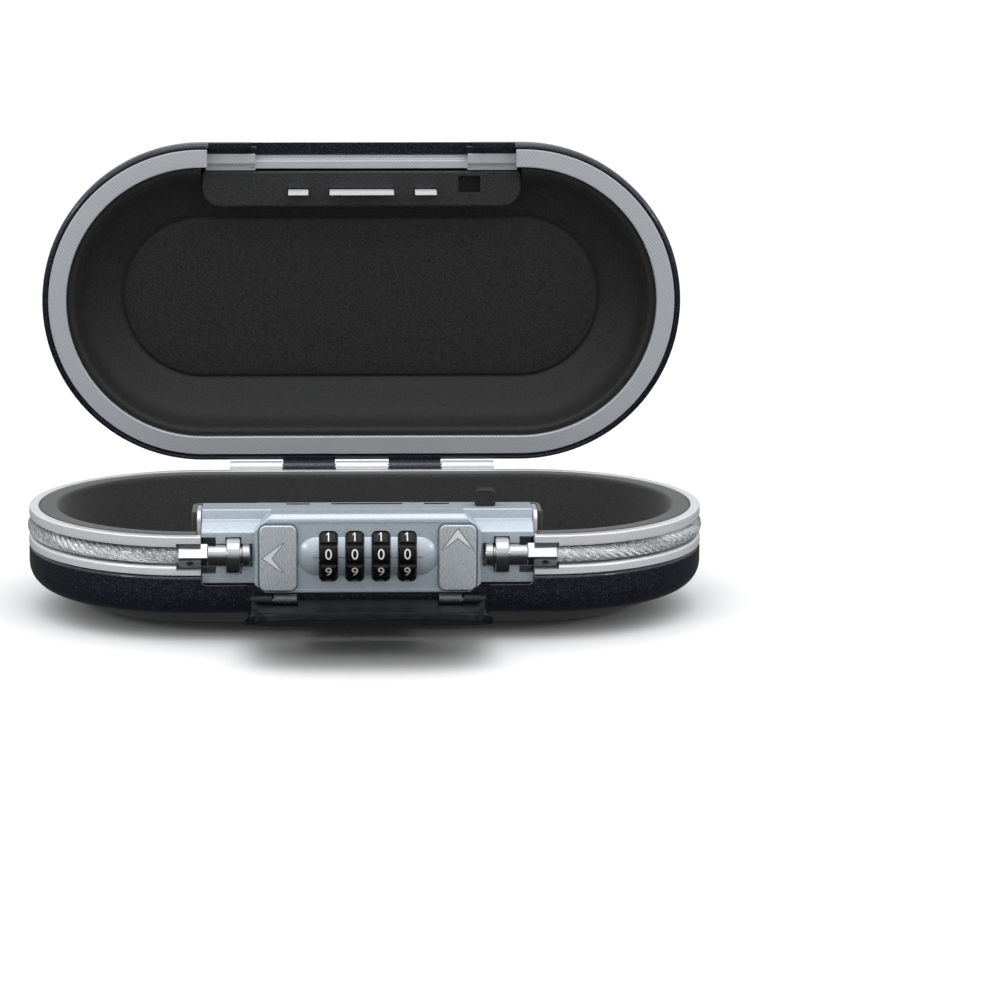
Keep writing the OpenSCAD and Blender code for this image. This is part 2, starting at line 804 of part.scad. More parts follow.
// Plate behind the face, an arm back to the ramp pin and an arm back to the fence
module lid_release_slide() {
    plate_end = slide_y + slide_t;
    arm_end = latch_y - gap;
    color([0.66, 0.67, 0.69]) {
        block([slide_x[0], slide_y, cable_z - 8], [slide_x[1], plate_end, cable_z + 7.5]);
        block([ramp_x - 1.5, slide_y, ramp_z - 1.5], [ramp_x + 1.5, arm_end, ramp_z + 1.5]);
        bar_y([ramp_x, arm_end - 1, ramp_z], ramp_pin_d, latch_t + 1 + gap);
        block([slide_x[0], slide_y, fence_z + 0.2], [slide_x[0] + 2, fence_y, fence_z + fence_h]);
    }
}

module lid_release_spring() {
    z0 = cable_z + 7.55;
    color([0.55, 0.56, 0.58])
        translate([spring_x, slide_y + slide_t / 2, z0])
            coil_spring(2.6, 0.4, cavity_z1 - 0.05 - z0, 3);
}

// Comb whose fingers go up into the gates of the cams
module fence_bar() {
    color([0.66, 0.67, 0.69]) {
        block([dial_x(0), fence_y, fence_z], [slide_x[0] + 2, fence_y + fence_t, fence_z + fence_h]);
        for (i = [0 : dial_count - 1])
            translate([dial_x(i) + dial_w / 2 + 0.2, 0, 0]) {
                block([0, dial_y - fence_w / 2, fence_z],
                    [cam_w - 0.4, fence_y + fence_t / 2, fence_z + finger_h]);
                block([0, dial_y - fence_w / 2, fence_z],
                    [cam_w - 0.4, dial_y + fence_w / 2, cable_z - cam_r - gap]);
            }
    }
}

// Bar with two hooks for the strike and a slanted slot that the ramp pin drives
module latch_bar() {
    slot_d = ramp_pin_d + 2 * slide_fit;
    far = [ramp_x - lid_travel, ramp_z + lid_travel];
    color([0.60, 0.61, 0.63]) difference() {
        union() {
            block([latch_x[0], latch_y, latch_z], [latch_x[1], latch_y + latch_t, latch_z + latch_h]);
            block([ramp_x - 5.5, latch_y, ramp_z - 4], [ramp_x + 3, latch_y + latch_t, latch_z - 0.1]);
            block([ramp_x - 5.5, latch_y, latch_z - 1], [latch_x[1], latch_y + latch_t, latch_z + 1]);
            for (tab = [tabs[0], tabs[2]])
                block([tab[1] - hook_depth + slide_fit, latch_y + latch_t - 0.5, hook_z + slide_fit],
                    [tab[1], tab_y + tab_t / 2, hook_z + hook_h - slide_fit]);
        }
        bar_y([ramp_x, latch_y - 1, ramp_z], slot_d, latch_t + 2);
        bar_y([far[0], latch_y - 1, far[1]], slot_d, latch_t + 2);
        translate([(ramp_x + far[0]) / 2, latch_y + latch_t / 2, (ramp_z + far[1]) / 2])
            rotate([0, 45, 0]) cube([lid_travel * sqrt(2), latch_t + 2, slot_d], center = true);
    }
}

// Tether cable and its end fittings

module cable_rope() {
    color([0.62, 0.62, 0.62]) difference() {
        racetrack() translate([cable_r, cable_z]) circle(d = rope_d);
        block([-rope_end, -cable_r - cable_d, 0], [rope_end, cable_d - cable_r, case_h]);
    }
}

module cable_jacket() {
    color([0.86, 0.88, 0.88, 0.5]) difference() {
        racetrack() translate([cable_r, cable_z]) difference() {
            circle(d = cable_d);
            circle(d = rope_d + 2 * pin_fit);
        }
        block([-block_end - 0.1, -cable_r - cable_d, 0], [block_end + 0.1, cable_d - cable_r, case_h]);
    }
}

module cable_fitting() {
    bore_d = rope_d + 0.3;
    axis = [0, -cable_r, cable_z];
    color([0.72, 0.73, 0.75]) difference() {
        union() {
            bar_x(axis + [tip_x, 0, 0], neck_d, tip_l);
            bar_x(axis + [tip_x + tip_l - 0.1, 0, 0], neck_d - 1.4, undercut_l + 0.2);
            bar_x(axis + [collar_x, 0, 0], collar_d, collar_l);
            bar_x(axis + [neck_x - 0.1, 0, 0], neck_d - 0.3, neck_l + 0.2);
            translate(axis + [block_x, 0, 0])
                rotate([45, 0, 0])
                    block([0, -block_side / 2, -block_side / 2], [block_l, block_side / 2, block_side / 2]);
        }
        intersection() {
            racetrack() translate([cable_r, cable_z]) circle(d = bore_d);
            block([rope_end - 0.2, -2 * cable_r, 0], [block_end + 1, 0, case_h]);
        }
        block([tip_x - 1, bolt_y[0] - slide_fit, cable_z - bolt_h / 2 - slide_fit],
            [tip_x + blade_slot, bolt_y[1] + slide_fit, cable_z + bolt_h / 2 + slide_fit]);
        set_screw_line() cylinder(d = screw_d + 2 * pin_fit, h = 10);
    }
}

module cable_fitting_right() { cable_fitting(); }
module cable_fitting_left() { mirror([1, 0, 0]) cable_fitting(); }

// From the middle of the clamp block out through its lower front face
module set_screw_line() {
    translate([block_x + block_l / 2 + 1, -cable_r, cable_z]) rotate([135, 0, 0]) children();
}

module set_screws() {
    color([0.25, 0.25, 0.27])
        for (side = [0, 1])
            mirror([side, 0, 0]) set_screw_line() difference() {
                translate([0, 0, rope_d / 2 + 0.05])
                    cylinder(d = screw_d, h = block_side / 2 - rope_d / 2 - 0.15);
                translate([0, 0, block_side / 2 - 0.6]) cylinder(d = 1.4, h = 1, $fn = 6);
            }
}

// Rubber plug of the lead-through port on top of the lock
module port_plug() {
    color([0.10, 0.10, 0.11]) {
        translate([plug_x, 0, lock_z1 + plug_size[2] / 2])
            along_y(plug_y - plug_size[1] / 2, plug_y + plug_size[1] / 2)
                polygon(rounded(plug_size[0], plug_size[2], 1.5));
        bar_z([plug_x, plug_y, lock_z1 - plug_stem_l], plug_stem_d, plug_stem_l + 1);
    }
}

// Hinge pins

module lid_hinge_pin() {
    w = hinge_knuckles * knuckle_l;
    color([0.70, 0.71, 0.73]) bar_x([-w / 2, hinge_y, hinge_z], hinge_pin_d, w);
}

module cover_hinge_pins() {
    l = cover_w / 2 - 1 - lug_x + lug_w / 2;
    color([0.70, 0.71, 0.73])
        for (side = [0, 1])
            mirror([side, 0, 0])
                bar_x([lug_x - lug_w / 2, cover_hinge[0], cover_hinge[1]], cover_pin_d, l);
}

// Cover over the lock

module cover_front() {
    z0 = cover_line[0][1];
    z1 = cover_line[3][1];
    intersection() {
        translate([0, (z0 + z1) / 2]) polygon(rounded(cover_w, z1 - z0, 5));
        translate([0, z1 - cover_arch_r]) circle(r = cover_arch_r, $fn = 200);
    }
}

module lock_cover() {
    rim_half = cover_w / 2 - cover_t;
    barrel_x = lug_x + lug_w / 2 + gap;
    lug_low = lug_x - lug_w / 2 - gap;
    color([0.11, 0.12, 0.14]) swing_cover() difference() {
        union() {
            intersection() {
                along_x(cover_w) polygon(concat(cover_line, reversed(cover_inset(cover_t))));
                along_y(2 * front_y, 0) cover_front();
            }
            for (side = [0, 1])
                mirror([side, 0, 0]) {
                    intersection() {
                        translate([rim_half + cover_t / 2, 0, 0])
                            along_x(cover_t) polygon(concat(cover_line, reversed(cover_inset(cover_rim))));
                        along_y(2 * front_y, 0) cover_front();
                        block([0, 2 * front_y, 0], [case_l, 0, cable_z + 14]);
                    }
                    bar_x([barrel_x, cover_hinge[0], cover_hinge[1]], 2 * lug_r,
                        cover_w / 2 - 0.3 - barrel_x);
                }
        }
        for (side = [0, 1])
            mirror([side, 0, 0]) {
                block([lug_low, 2 * front_y, 0], [barrel_x, 0, cover_hinge[1] + 3]);
                bar_x([barrel_x - 1, cover_hinge[0], cover_hinge[1]], cover_pin_d + 2 * pin_fit, cover_w);
            }
    }
}

// Lid

// Room for the lock under the front of the lid, and for the cover in front of it
module lid_front_room() {
    cover_half = cover_w / 2 + 0.7;
    room_half = max(lock_half + 0.8, cover_half);
    block([-room_half, front_y - 1, 0], [room_half, strike_front, strike_z]);
    block([-plate_half - 0.7, front_y - 1, 0], [plate_half + 0.7, front_y + wall + 1, plate_z1 + 1]);
    along_x(2 * cover_half) polygon(concat(cover_inset(-6), reversed(cover_inset(cover_t + 0.45))));
}

module lid_shell() {
    color([0.10, 0.10, 0.15]) swing_lid() difference() {
        union() {
            lid_side() racetrack() polygon(shell_wall(0, wall, lid_h));
            hinge_row(1, lid_z, hinge_z + knuckle_r);
        }
        lid_front_room();
        hinge_bore();
    }
}

// Metal ring inside the edge, raised in steps where the lock stands under it
module lid_rim() {
    out_r = end_r - wall - gap;
    in_r = out_r - rim_w;
    step_x = plate_half + 1.2;
    centre_x = lock_half + 0.8;
    side_z = plate_z1 + 3.5;
    web_w = 1.8;
    strip_y = strike_front - slide_fit;
    strip_top = strike_z + 2;
    color([0.62, 0.64, 0.67]) swing_lid() {
        difference() {
            racetrack() translate([in_r, lid_z]) square([rim_w, rim_t]);
            block([-step_x, front_y, 0], [step_x, 0, case_h]);
        }
        intersection() {
            union() {
                block([-centre_x - web_w, -out_r, strike_z], [centre_x + web_w, strip_y, strip_top]);
                for (side = [0, 1])
                    mirror([side, 0, 0]) {
                        block([centre_x, -out_r, side_z], [step_x + web_w / 2, strip_y, strip_top]);
                        block([centre_x, -out_r, side_z], [step_x, -in_r, strike_z - gap]);
                        block([step_x, -out_r, lid_z], [step_x + web_w, strip_y, strip_top]);
                    }
            }
            lid_side() racetrack() polygon(shell_fill(wall + gap, lid_h));
        }
    }
}

module lid_liner() {
    inset = wall + gap;
    rim_clear = rim_t + gap;
    color([0.16, 0.16, 0.16]) swing_lid() difference() {
        lid_side() racetrack() polygon(shell_wall(inset, lid_lining, lid_h - rim_clear));
        block([-strike_half - gap, 2 * front_y, 0], [strike_half + gap, strike_back + gap, case_h]);
    }
}

// Moulding under the front of the lid that carries the strike
module strike_housing() {
    plate_half_x = strike_plate_half + slide_fit;
    plug_room = [plug_size[0] / 2 + 0.5, plug_size[1] / 2 + 0.5];
    color([0.12, 0.12, 0.12]) swing_lid() difference() {
        intersection() {
            block([-strike_half, strike_front, strike_z], [strike_half, strike_back, case_h]);
            lid_side() racetrack() polygon(shell_fill(wall + gap, lid_h));
        }
        block([-plate_half_x, strike_plate_y[0] - slide_fit, strike_plate_z],
            [plate_half_x, strike_plate_y[1] + slide_fit, case_h]);
        for (tab = tabs)
            block([tab[0] - slide_fit, tab_y - tab_t / 2 - slide_fit, strike_z - 1],
                [tab[1] + slide_fit, tab_y + tab_t / 2 + slide_fit, strike_plate_z + 1]);
        for (side = [-1, 1])
            bar_z([side * strike_screw_x, strike_screw_y, strike_z + 0.4], screw_d + 2 * pin_fit, 4);
        translate([plug_x, plug_y, 0])
            block([-plug_room[0], -plug_room[1], strike_z - 1],
                [plug_room[0], plug_room[1], lock_z1 + plug_size[2] + 0.5]);
    }
}

module strike_plate() {
    color([0.80, 0.81, 0.82]) swing_lid() difference() {
        union() {
            block([-strike_plate_half, strike_plate_y[0], strike_plate_z],
                [strike_plate_half, strike_plate_y[1], strike_plate_z + strike_plate_t]);
            for (tab = tabs)
                block([tab[0], tab_y - tab_t / 2, tab_end],
                    [tab[1], tab_y + tab_t / 2, strike_plate_z + 0.1]);
        }
        for (tab = [tabs[0], tabs[2]])
            block([tab[1] - hook_depth, tab_y - tab_t, hook_z],
                [tab[1] + 1, tab_y + tab_t, hook_z + hook_h]);
        for (side = [-1, 1])
            bar_z([side * strike_screw_x, strike_screw_y, strike_plate_z - 1], screw_d + 0.3, 4);
    }
}

module strike_screws() {
    color([0.40, 0.41, 0.43]) swing_lid()
        for (side = [-1, 1])
            translate([side * strike_screw_x, strike_screw_y, strike_z + 0.6])
                screw(screw_d, strike_plate_z + strike_plate_t - strike_z - 0.6, 4.4, 1.4);
}

base_shell();
cable_channel();
base_liner();
lock_body();
lock_back_plate();
lock_plate_screws();
lock_screws();
dial_spindle();
detent_spring();
dial_1();
dial_2();
dial_3();
dial_4();
dial_cam_1();
dial_cam_2();
dial_cam_3();
dial_cam_4();
cable_release_button();
cable_release_lever();
cable_bolt();
cable_bolt_spring();
cable_anchor();
lid_release_button();
lid_release_slide();
lid_release_spring();
fence_bar();
latch_bar();
cable_rope();
cable_jacket();
cable_fitting_left();
cable_fitting_right();
set_screws();
port_plug();
lid_hinge_pin();
cover_hinge_pins();
lock_cover();
lid_shell();
lid_rim();
lid_liner();
strike_housing();
strike_plate();
strike_screws();
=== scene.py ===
# %% [markdown]
# # A portable combination cash box
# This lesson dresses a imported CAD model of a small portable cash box. Its lid stands open, a
# combination lock fills the front, a tether cable runs round it in a groove, and a black cover hangs
# folded down in front of the lock. The CAD solids stay where they are. What shows of them is either
# modelled again here with softer edges and finer detail, or given a finish. Sizes in the script are
# millimetres, and the helpers turn them into metres.

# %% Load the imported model
import json
import math

import bpy
from mathutils import Matrix, Vector


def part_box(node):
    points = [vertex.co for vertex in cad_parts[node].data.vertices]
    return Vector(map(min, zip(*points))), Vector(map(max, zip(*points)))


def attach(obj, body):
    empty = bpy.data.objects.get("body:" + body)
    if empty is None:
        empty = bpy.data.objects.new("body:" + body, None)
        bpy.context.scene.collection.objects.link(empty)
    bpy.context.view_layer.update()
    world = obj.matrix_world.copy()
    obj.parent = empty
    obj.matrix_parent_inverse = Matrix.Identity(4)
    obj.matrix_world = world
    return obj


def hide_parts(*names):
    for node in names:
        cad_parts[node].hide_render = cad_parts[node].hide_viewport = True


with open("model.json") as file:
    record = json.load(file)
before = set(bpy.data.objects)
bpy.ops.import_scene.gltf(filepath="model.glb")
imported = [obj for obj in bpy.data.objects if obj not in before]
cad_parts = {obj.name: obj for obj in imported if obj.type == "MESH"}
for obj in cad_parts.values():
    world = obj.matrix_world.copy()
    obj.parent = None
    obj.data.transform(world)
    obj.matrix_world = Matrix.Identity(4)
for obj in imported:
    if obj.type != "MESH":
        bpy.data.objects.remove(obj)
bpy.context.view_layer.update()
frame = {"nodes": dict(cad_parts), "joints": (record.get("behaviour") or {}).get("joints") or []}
mm = 0.001

# %% [markdown]
# ## Sizes that the solids give
# The case is a racetrack seen from above: a straight middle with two half circles. Its sizes could be
# typed in again, but reading them from the solids keeps both models together when the CAD changes.


# %% Read the case, cable and lock sizes
def node_box(node):
    """Lowest and highest corner of a CAD node, in millimetres."""
    low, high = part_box(node)
    return Vector(low) / mm, Vector(high) / mm


def half_height(node):
    """Radius of a round CAD node that lies level, in millimetres."""
    low, high = node_box(node)
    return (high.z - low.z) / 2


channel_low, channel_high = node_box("cable_channel")
end_r = -channel_low.y
straight = channel_high.x - end_r
base_h = node_box("base_shell")[1].z
rope_low, rope_high = node_box("cable_rope")
rope_r = half_height("cable_rope")
cable_z = (rope_high.z + rope_low.z) / 2
cable_r = rope_high.x - rope_r - straight
jacket_r = half_height("cable_jacket")
joints = {joint["name"]: joint for joint in frame["joints"]}
lid_hinge = Vector(joints["lid_hinge"]["pos_m"]) / mm
cover_hinge = Vector(joints["cover_hinge"]["pos_m"]) / mm
print("End radius, straight, cable height:", round(end_r, 2), round(straight, 2), round(cable_z, 2))
print("Lid hinge:", lid_hinge, "cover hinge:", cover_hinge)

# %% [markdown]
# ## Camera and light
# The box was photographed a little from above with a long lens, left of and above the middle of the
# frame. The camera could be turned to frame it so, but that leans the upright edges, so the lens is
# shifted instead. Dark paint and polished metal show mostly what they reflect. A white tent would leave
# them flat and grey, so the studio is bright overhead and dark below, the floor stays out of the
# reflections as if a black card lay on it, and two small soft boxes put a crisp light on the ends. The
# camera itself sees plain white behind the box.

# %% Place the camera
view_target = Vector((0, 0, 0.080))
view_distance = 1.075
view_azimuth = math.radians(-1.0)
view_elevation = math.radians(9.35)
camera_data = bpy.data.cameras.new("camera")
camera_data.lens = 108.7
camera_data.sensor_width = 36
camera_data.shift_x = 0.1352
camera_data.shift_y = -0.1175
camera = bpy.data.objects.new("camera", camera_data)
bpy.context.collection.objects.link(camera)
from_target = Vector((
    math.sin(view_azimuth) * math.cos(view_elevation),
    -math.cos(view_azimuth) * math.cos(view_elevation),
    math.sin(view_elevation),
))
camera.location = view_target + view_distance * from_target
camera.rotation_euler = (-from_target).to_track_quat("-Z", "Y").to_euler()
bpy.context.scene.camera = camera
print("Camera at", camera.location)


# %% Hang the soft boxes
def soft_light(name, place, size, power):
    """A square soft box that faces the middle of the object."""
    light = bpy.data.lights.new(name, "AREA")
    light.size = size
    light.energy = power
    lamp = bpy.data.objects.new(name, light)
    lamp.location = place
    lamp.rotation_euler = (view_target - Vector(place)).to_track_quat("-Z", "Y").to_euler()
    bpy.context.collection.objects.link(lamp)
    return lamp


soft_light("top_light", (0.0, -0.35, 1.20), 0.9, 3)
soft_light("left_light", (-1.00, -0.85, 0.62), 0.16, 1.6)
soft_light("right_light", (1.05, -0.80, 0.55), 0.15, 1.4)


# %% Light the studio from above and show the camera a white backdrop
def set_stops(ramp, stops):
    """Fill a colour ramp with stops of (position, colour)."""
    elements = ramp.color_ramp.elements
    while len(elements) < len(stops):
        elements.new(0.5)
    for element, (position, colour) in zip(elements, stops):
        element.position = position
        element.color = (*colour, 1)


world = bpy.data.worlds.new("studio")
bpy.context.scene.world = world
world.use_nodes = True
world_nodes = world.node_tree.nodes
world_links = world.node_tree.links
direction = world_nodes.new("ShaderNodeTexCoord")
height = world_nodes.new("ShaderNodeSeparateXYZ")
rise = world_nodes.new("ShaderNodeMapRange")
rise.inputs["From Min"].default_value = -1
sky = world_nodes.new("ShaderNodeValToRGB")
sky_levels = [(0.0, 0.02), (0.46, 0.05), (0.54, 0.22), (0.82, 1.0)]
set_stops(sky, [(position, (0.98 * level, 0.99 * level, level)) for position, level in sky_levels])
world_links.new(direction.outputs["Generated"], height.inputs["Vector"])
world_links.new(height.outputs["Z"], rise.inputs["Value"])
world_links.new(rise.outputs["Result"], sky.inputs["Fac"])
world_links.new(sky.outputs["Color"], world_nodes["Background"].inputs["Color"])
world_nodes["Background"].inputs["Strength"].default_value = 1.3
backdrop = world_nodes.new("ShaderNodeBackground")
backdrop.inputs["Color"].default_value = (1, 1, 1, 1)
seen = world_nodes.new("ShaderNodeLightPath")
either = world_nodes.new("ShaderNodeMixShader")
world_links.new(seen.outputs["Is Camera Ray"], either.inputs["Fac"])
world_links.new(world_nodes["Background"].outputs["Background"], either.inputs[1])
world_links.new(backdrop.outputs["Background"], either.inputs[2])
world_links.new(either.outputs["Shader"], world_nodes["World Output"].inputs["Surface"])
bpy.context.scene.view_settings.view_transform = "Standard"
print("Sky levels from the floor up:", [level for position, level in sky_levels])


# %% [markdown]
# ## Working by hand, in code
# Each piece starts from a primitive and is shaped with edit mode's own tools. These few helpers do what
# a hand would do: deselect, pick one piece, go into edit mode, close the seams and turn the faces
# outwards.


# %% Helpers for picking and editing
merge_distance = 2e-6


def deselect_all():
    """Leave edit mode and let go of everything."""
    if bpy.context.mode != "OBJECT":
        bpy.ops.object.mode_set(mode="OBJECT")
    bpy.ops.object.select_all(action="DESELECT")


def pick(piece):
    """Select one piece alone and make it the active one."""
    deselect_all()
    piece.select_set(True)
    bpy.context.view_layer.objects.active = piece


def edit(piece):
    """Go into edit mode with all of the piece selected."""
    pick(piece)
    bpy.ops.object.mode_set(mode="EDIT")
    bpy.ops.mesh.select_all(action="SELECT")


def close_mesh():
    """Merge seams, turn faces outwards and leave edit mode."""
    bpy.ops.mesh.select_all(action="SELECT")
    bpy.ops.mesh.remove_doubles(threshold=merge_distance)
    bpy.ops.mesh.normals_make_consistent(inside=False)
    bpy.ops.object.mode_set(mode="OBJECT")


print("Blender", bpy.app.version_string)


# %% Helpers for modifiers
def apply_modifier(piece, kind, **settings):
    """Add a modifier, set it and apply it at once."""
    modifier = piece.modifiers.new(kind.lower(), kind)
    for setting, value in settings.items():
        setattr(modifier, setting, value)
    pick(piece)
    bpy.ops.object.modifier_apply(modifier=modifier.name)


def smooth(piece, angle=35):
    """Shade round all but the sharp edges, and keep large flat faces flat."""
    pick(piece)
    bpy.ops.object.shade_smooth_by_angle(angle=math.radians(angle))
    apply_modifier(piece, "WEIGHTED_NORMAL", keep_sharp=True, weight=60)


def round_edges(piece, width, segments=3, angle=30):
    """Take the sharpness off every edge that turns by more than an angle."""
    apply_modifier(piece, "BEVEL", width=width * mm, segments=segments, limit_method="ANGLE",
                   angle_limit=math.radians(angle))
    return piece


def cut(piece, *cutters):
    """Take each cutter out of the piece, then throw the cutter away."""
    for cutter in cutters:
        apply_modifier(piece, "BOOLEAN", operation="DIFFERENCE", solver="EXACT", object=cutter)
        bpy.data.objects.remove(cutter)
    return piece


def join(name, *pieces):
    """Make one object of several closed forms."""
    pick(pieces[0])
    for piece in pieces[1:]:
        piece.select_set(True)
    bpy.ops.object.join()
    pieces[0].name = name
    pieces[0].data.name = name
    return pieces[0]


def on_side(side, near, far):
    """Low and high X of a span from near to far on the side -1 or 1."""
    return sorted((side * near, side * far))


print("A span on the left side:", on_side(-1, 2, 5))


# %% [markdown]
# ## Outlines
# Most of the box is drawn as an outline and then pulled out, turned or swept, so an outline is the
# first tool. A circle primitive has the right topology, one ring of edges, and its vertices only need
# moving into place.


# %% Draw an outline
def outline(name, points, closed=True):
    """A line of edges through points in millimetres."""
    deselect_all()
    bpy.ops.mesh.primitive_circle_add(vertices=len(points))
    piece = bpy.context.object
    piece.name = name
    piece.data.name = name
    for vertex, point in zip(piece.data.vertices, points):
        vertex.co = Vector(point) * mm
    if not closed:
        last = {0, len(points) - 1}
        edit(piece)
        bpy.ops.mesh.select_mode(type="EDGE")
        bpy.ops.mesh.select_all(action="DESELECT")
        bpy.ops.object.mode_set(mode="OBJECT")
        for edge in piece.data.edges:
            edge.select = set(edge.vertices) == last
        bpy.ops.object.mode_set(mode="EDIT")
        bpy.ops.mesh.delete(type="EDGE")
        bpy.ops.mesh.select_mode(type="VERT")
        bpy.ops.object.mode_set(mode="OBJECT")
    return piece


def rectangle(low, high):
    """The four corners between two opposite ones."""
    return [(low[0], low[1]), (high[0], low[1]), (high[0], high[1]), (low[0], high[1])]


print("Corners of an outline:", rectangle((0, 0), (2, 1)))


# %% Pull an outline out
def prism(name, points, way):
    """Fill an outline and pull it out."""
    piece = outline(name, points)
    edit(piece)
    bpy.ops.mesh.edge_face_add()
    bpy.ops.mesh.extrude_region_move(TRANSFORM_OT_translate={"value": Vector(way) * mm})
    close_mesh()
    return piece


def bar(name, section, start, end):
    """A bar along X with a section of (y, z) points."""
    return prism(name, [(start, y, z) for y, z in section], (end - start, 0, 0))


def panel(name, face, front, back):
    """A plate along Y with an outline of (x, z) points."""
    return prism(name, [(x, front, z) for x, z in face], (0, back - front, 0))


def slab(name, plan, low, high):
    """A plate along Z with an outline of (x, y) points."""
    return prism(name, [(x, y, low) for x, y in plan], (0, 0, high - low))


def box(name, low, high):
    """A block between two corners, as a start for shaping or as a cutter."""
    return slab(name, rectangle(low, high), low[2], high[2])


print("Outlines can be pulled out along X, Y and Z")


# %% Draw round corners and arcs
def rounded(corners, radii, steps=6):
    """An outline whose corners are arcs. A radius of 0 keeps a corner sharp."""
    points = []
    for index, corner in enumerate(corners):
        radius = radii[index] if isinstance(radii, (list, tuple)) else radii
        corner = Vector(corner)
        if radius == 0:
            points.append(tuple(corner))
            continue
        before = (Vector(corners[index - 1]) - corner).normalized()
        after = (Vector(corners[(index + 1) % len(corners)]) - corner).normalized()
        half = before.angle(after) / 2
        centre = corner + (before + after).normalized() * radius / math.sin(half)
        first = corner + before * radius / math.tan(half) - centre
        last = corner + after * radius / math.tan(half) - centre
        turns = [first.slerp(last, step / steps).normalized() for step in range(steps + 1)]
        points += [tuple(centre + radius * turn) for turn in turns]
    return points


def arc(centre, radius, start, end, steps):
    """Points on an arc, angles in degrees."""
    angles = [math.radians(start + (end - start) * step / steps) for step in range(steps + 1)]
    return [(centre[0] + radius * math.cos(a), centre[1] + radius * math.sin(a)) for a in angles]


print("One round corner gives", len(rounded(rectangle((0, 0), (2, 2)), 0.5)) // 4, "points")


# %% Turn and sweep an outline
def lathe_x(name, profile, axis_y, axis_z, steps=48):
    """Turn a profile of (x, radius) points about a line along X."""
    piece = outline(name, [(x, axis_y - radius, axis_z) for x, radius in profile])
    edit(piece)
    bpy.ops.mesh.spin(steps=steps, angle=2 * math.pi, axis=(1, 0, 0),
                      center=(0, axis_y * mm, axis_z * mm))
    close_mesh()
    return piece


def round_case(name, section, closed=True, steps=64):
    """Sweep a section of (distance from the middle line, height) points once round the case."""
    half = straight
    piece = outline(name, [(half, -r, z) for r, z in section], closed)
    edit(piece)
    for side in (1, -1):
        bpy.ops.mesh.spin(steps=steps, angle=math.pi, axis=(0, 0, -1), center=(side * half * mm, 0, 0))
        bpy.ops.mesh.extrude_region_move(TRANSFORM_OT_translate={"value": (-side * 2 * half * mm, 0, 0)})
    close_mesh()
    return piece


def cylinder(name, centre, radius, axis, length, steps=40):
    """A round bar centred on a point, along the x, y or z axis."""
    turn = {"x": (0, math.pi / 2, 0), "y": (math.pi / 2, 0, 0), "z": (0, 0, 0)}[axis]
    deselect_all()
    bpy.ops.mesh.primitive_cylinder_add(vertices=steps, radius=radius * mm, depth=length * mm,
                                        location=Vector(centre) * mm, rotation=turn)
    piece = bpy.context.object
    piece.name = name
    bpy.ops.object.transform_apply(location=True, rotation=True, scale=True)
    return piece


print("Outlines can be turned about X and swept round the case")

# %% [markdown]
# ## Finishes
# Every finish is a Principled shader with a pattern on Object coordinates, so it stays on the piece
# when the box moves. An image could carry the same detail, but a pattern has no resolution limit and
# needs no file. Each pattern is scaled in cells or waves per metre, because the box is in metres.


# %% Helpers for finishes
def finish(name, colour, roughness, metallic=0.0, **sockets):
    """A new material with the values that are the same all over."""
    material = bpy.data.materials.new(name + "_finish")
    material.use_nodes = True
    shader = material.node_tree.nodes["Principled BSDF"]
    shader.inputs["Base Color"].default_value = (*colour, 1)
    shader.inputs["Roughness"].default_value = roughness
    shader.inputs["Metallic"].default_value = metallic
    for socket, value in sockets.items():
        shader.inputs[socket.replace("_", " ")].default_value = value
    return material


def pattern(material, kind, scale, stretch=(1, 1, 1), turn=(0, 0, 0), **inputs):
    """A texture node on the piece's own coordinates."""
    nodes = material.node_tree.nodes
    links = material.node_tree.links
    place = nodes.new("ShaderNodeTexCoord")
    mapping = nodes.new("ShaderNodeMapping")
    mapping.inputs["Scale"].default_value = stretch
    mapping.inputs["Rotation"].default_value = [math.radians(angle) for angle in turn]
    texture = nodes.new(kind)
    texture.inputs["Scale"].default_value = scale
    for socket, value in inputs.items():
        texture.inputs[socket].default_value = value
    links.new(place.outputs["Object"], mapping.inputs["Vector"])
    links.new(mapping.outputs["Vector"], texture.inputs["Vector"])
    return texture


print("Patterns lie on Object coordinates, in cells or waves per metre")


# %% Helpers that let a pattern change a finish
def feed(material, output, socket):
    """Let a node's output set one of the shader's sockets."""
    shader = material.node_tree.nodes["Principled BSDF"]
    material.node_tree.links.new(output, shader.inputs[socket])


def vary_colour(material, output, stops):
    """Colour the surface by a pattern, through stops of (position, colour)."""
    ramp = material.node_tree.nodes.new("ShaderNodeValToRGB")
    set_stops(ramp, stops)
    material.node_tree.links.new(output, ramp.inputs["Fac"])
    feed(material, ramp.outputs["Color"], "Base Color")


def vary_roughness(material, output, low, high):
    """Let a pattern move the roughness between two values."""
    spread = material.node_tree.nodes.new("ShaderNodeMapRange")
    spread.inputs["From Min"].default_value = 0.3
    spread.inputs["From Max"].default_value = 0.7
    spread.inputs["To Min"].default_value = low
    spread.inputs["To Max"].default_value = high
    material.node_tree.links.new(output, spread.inputs["Value"])
    feed(material, spread.outputs["Result"], "Roughness")


def emboss(material, output, strength, depth):
    """Raise the surface by a pattern, depth in millimetres."""
    bump = material.node_tree.nodes.new("ShaderNodeBump")
    bump.inputs["Strength"].default_value = strength
    bump.inputs["Distance"].default_value = depth * mm
    material.node_tree.links.new(output, bump.inputs["Height"])
    feed(material, bump.outputs["Normal"], "Normal")


print("A pattern can change colour, roughness and relief")

# %% [markdown]
# ### Paint
# The shells are sprayed a blue-black metallic and then lacquered. Metallic paint is made of tiny flakes
# lying at slightly different angles. Voronoi cells a quarter of a millimetre wide give each flake its
# own brightness, and the clear coat over them keeps one smooth, sharp reflection.

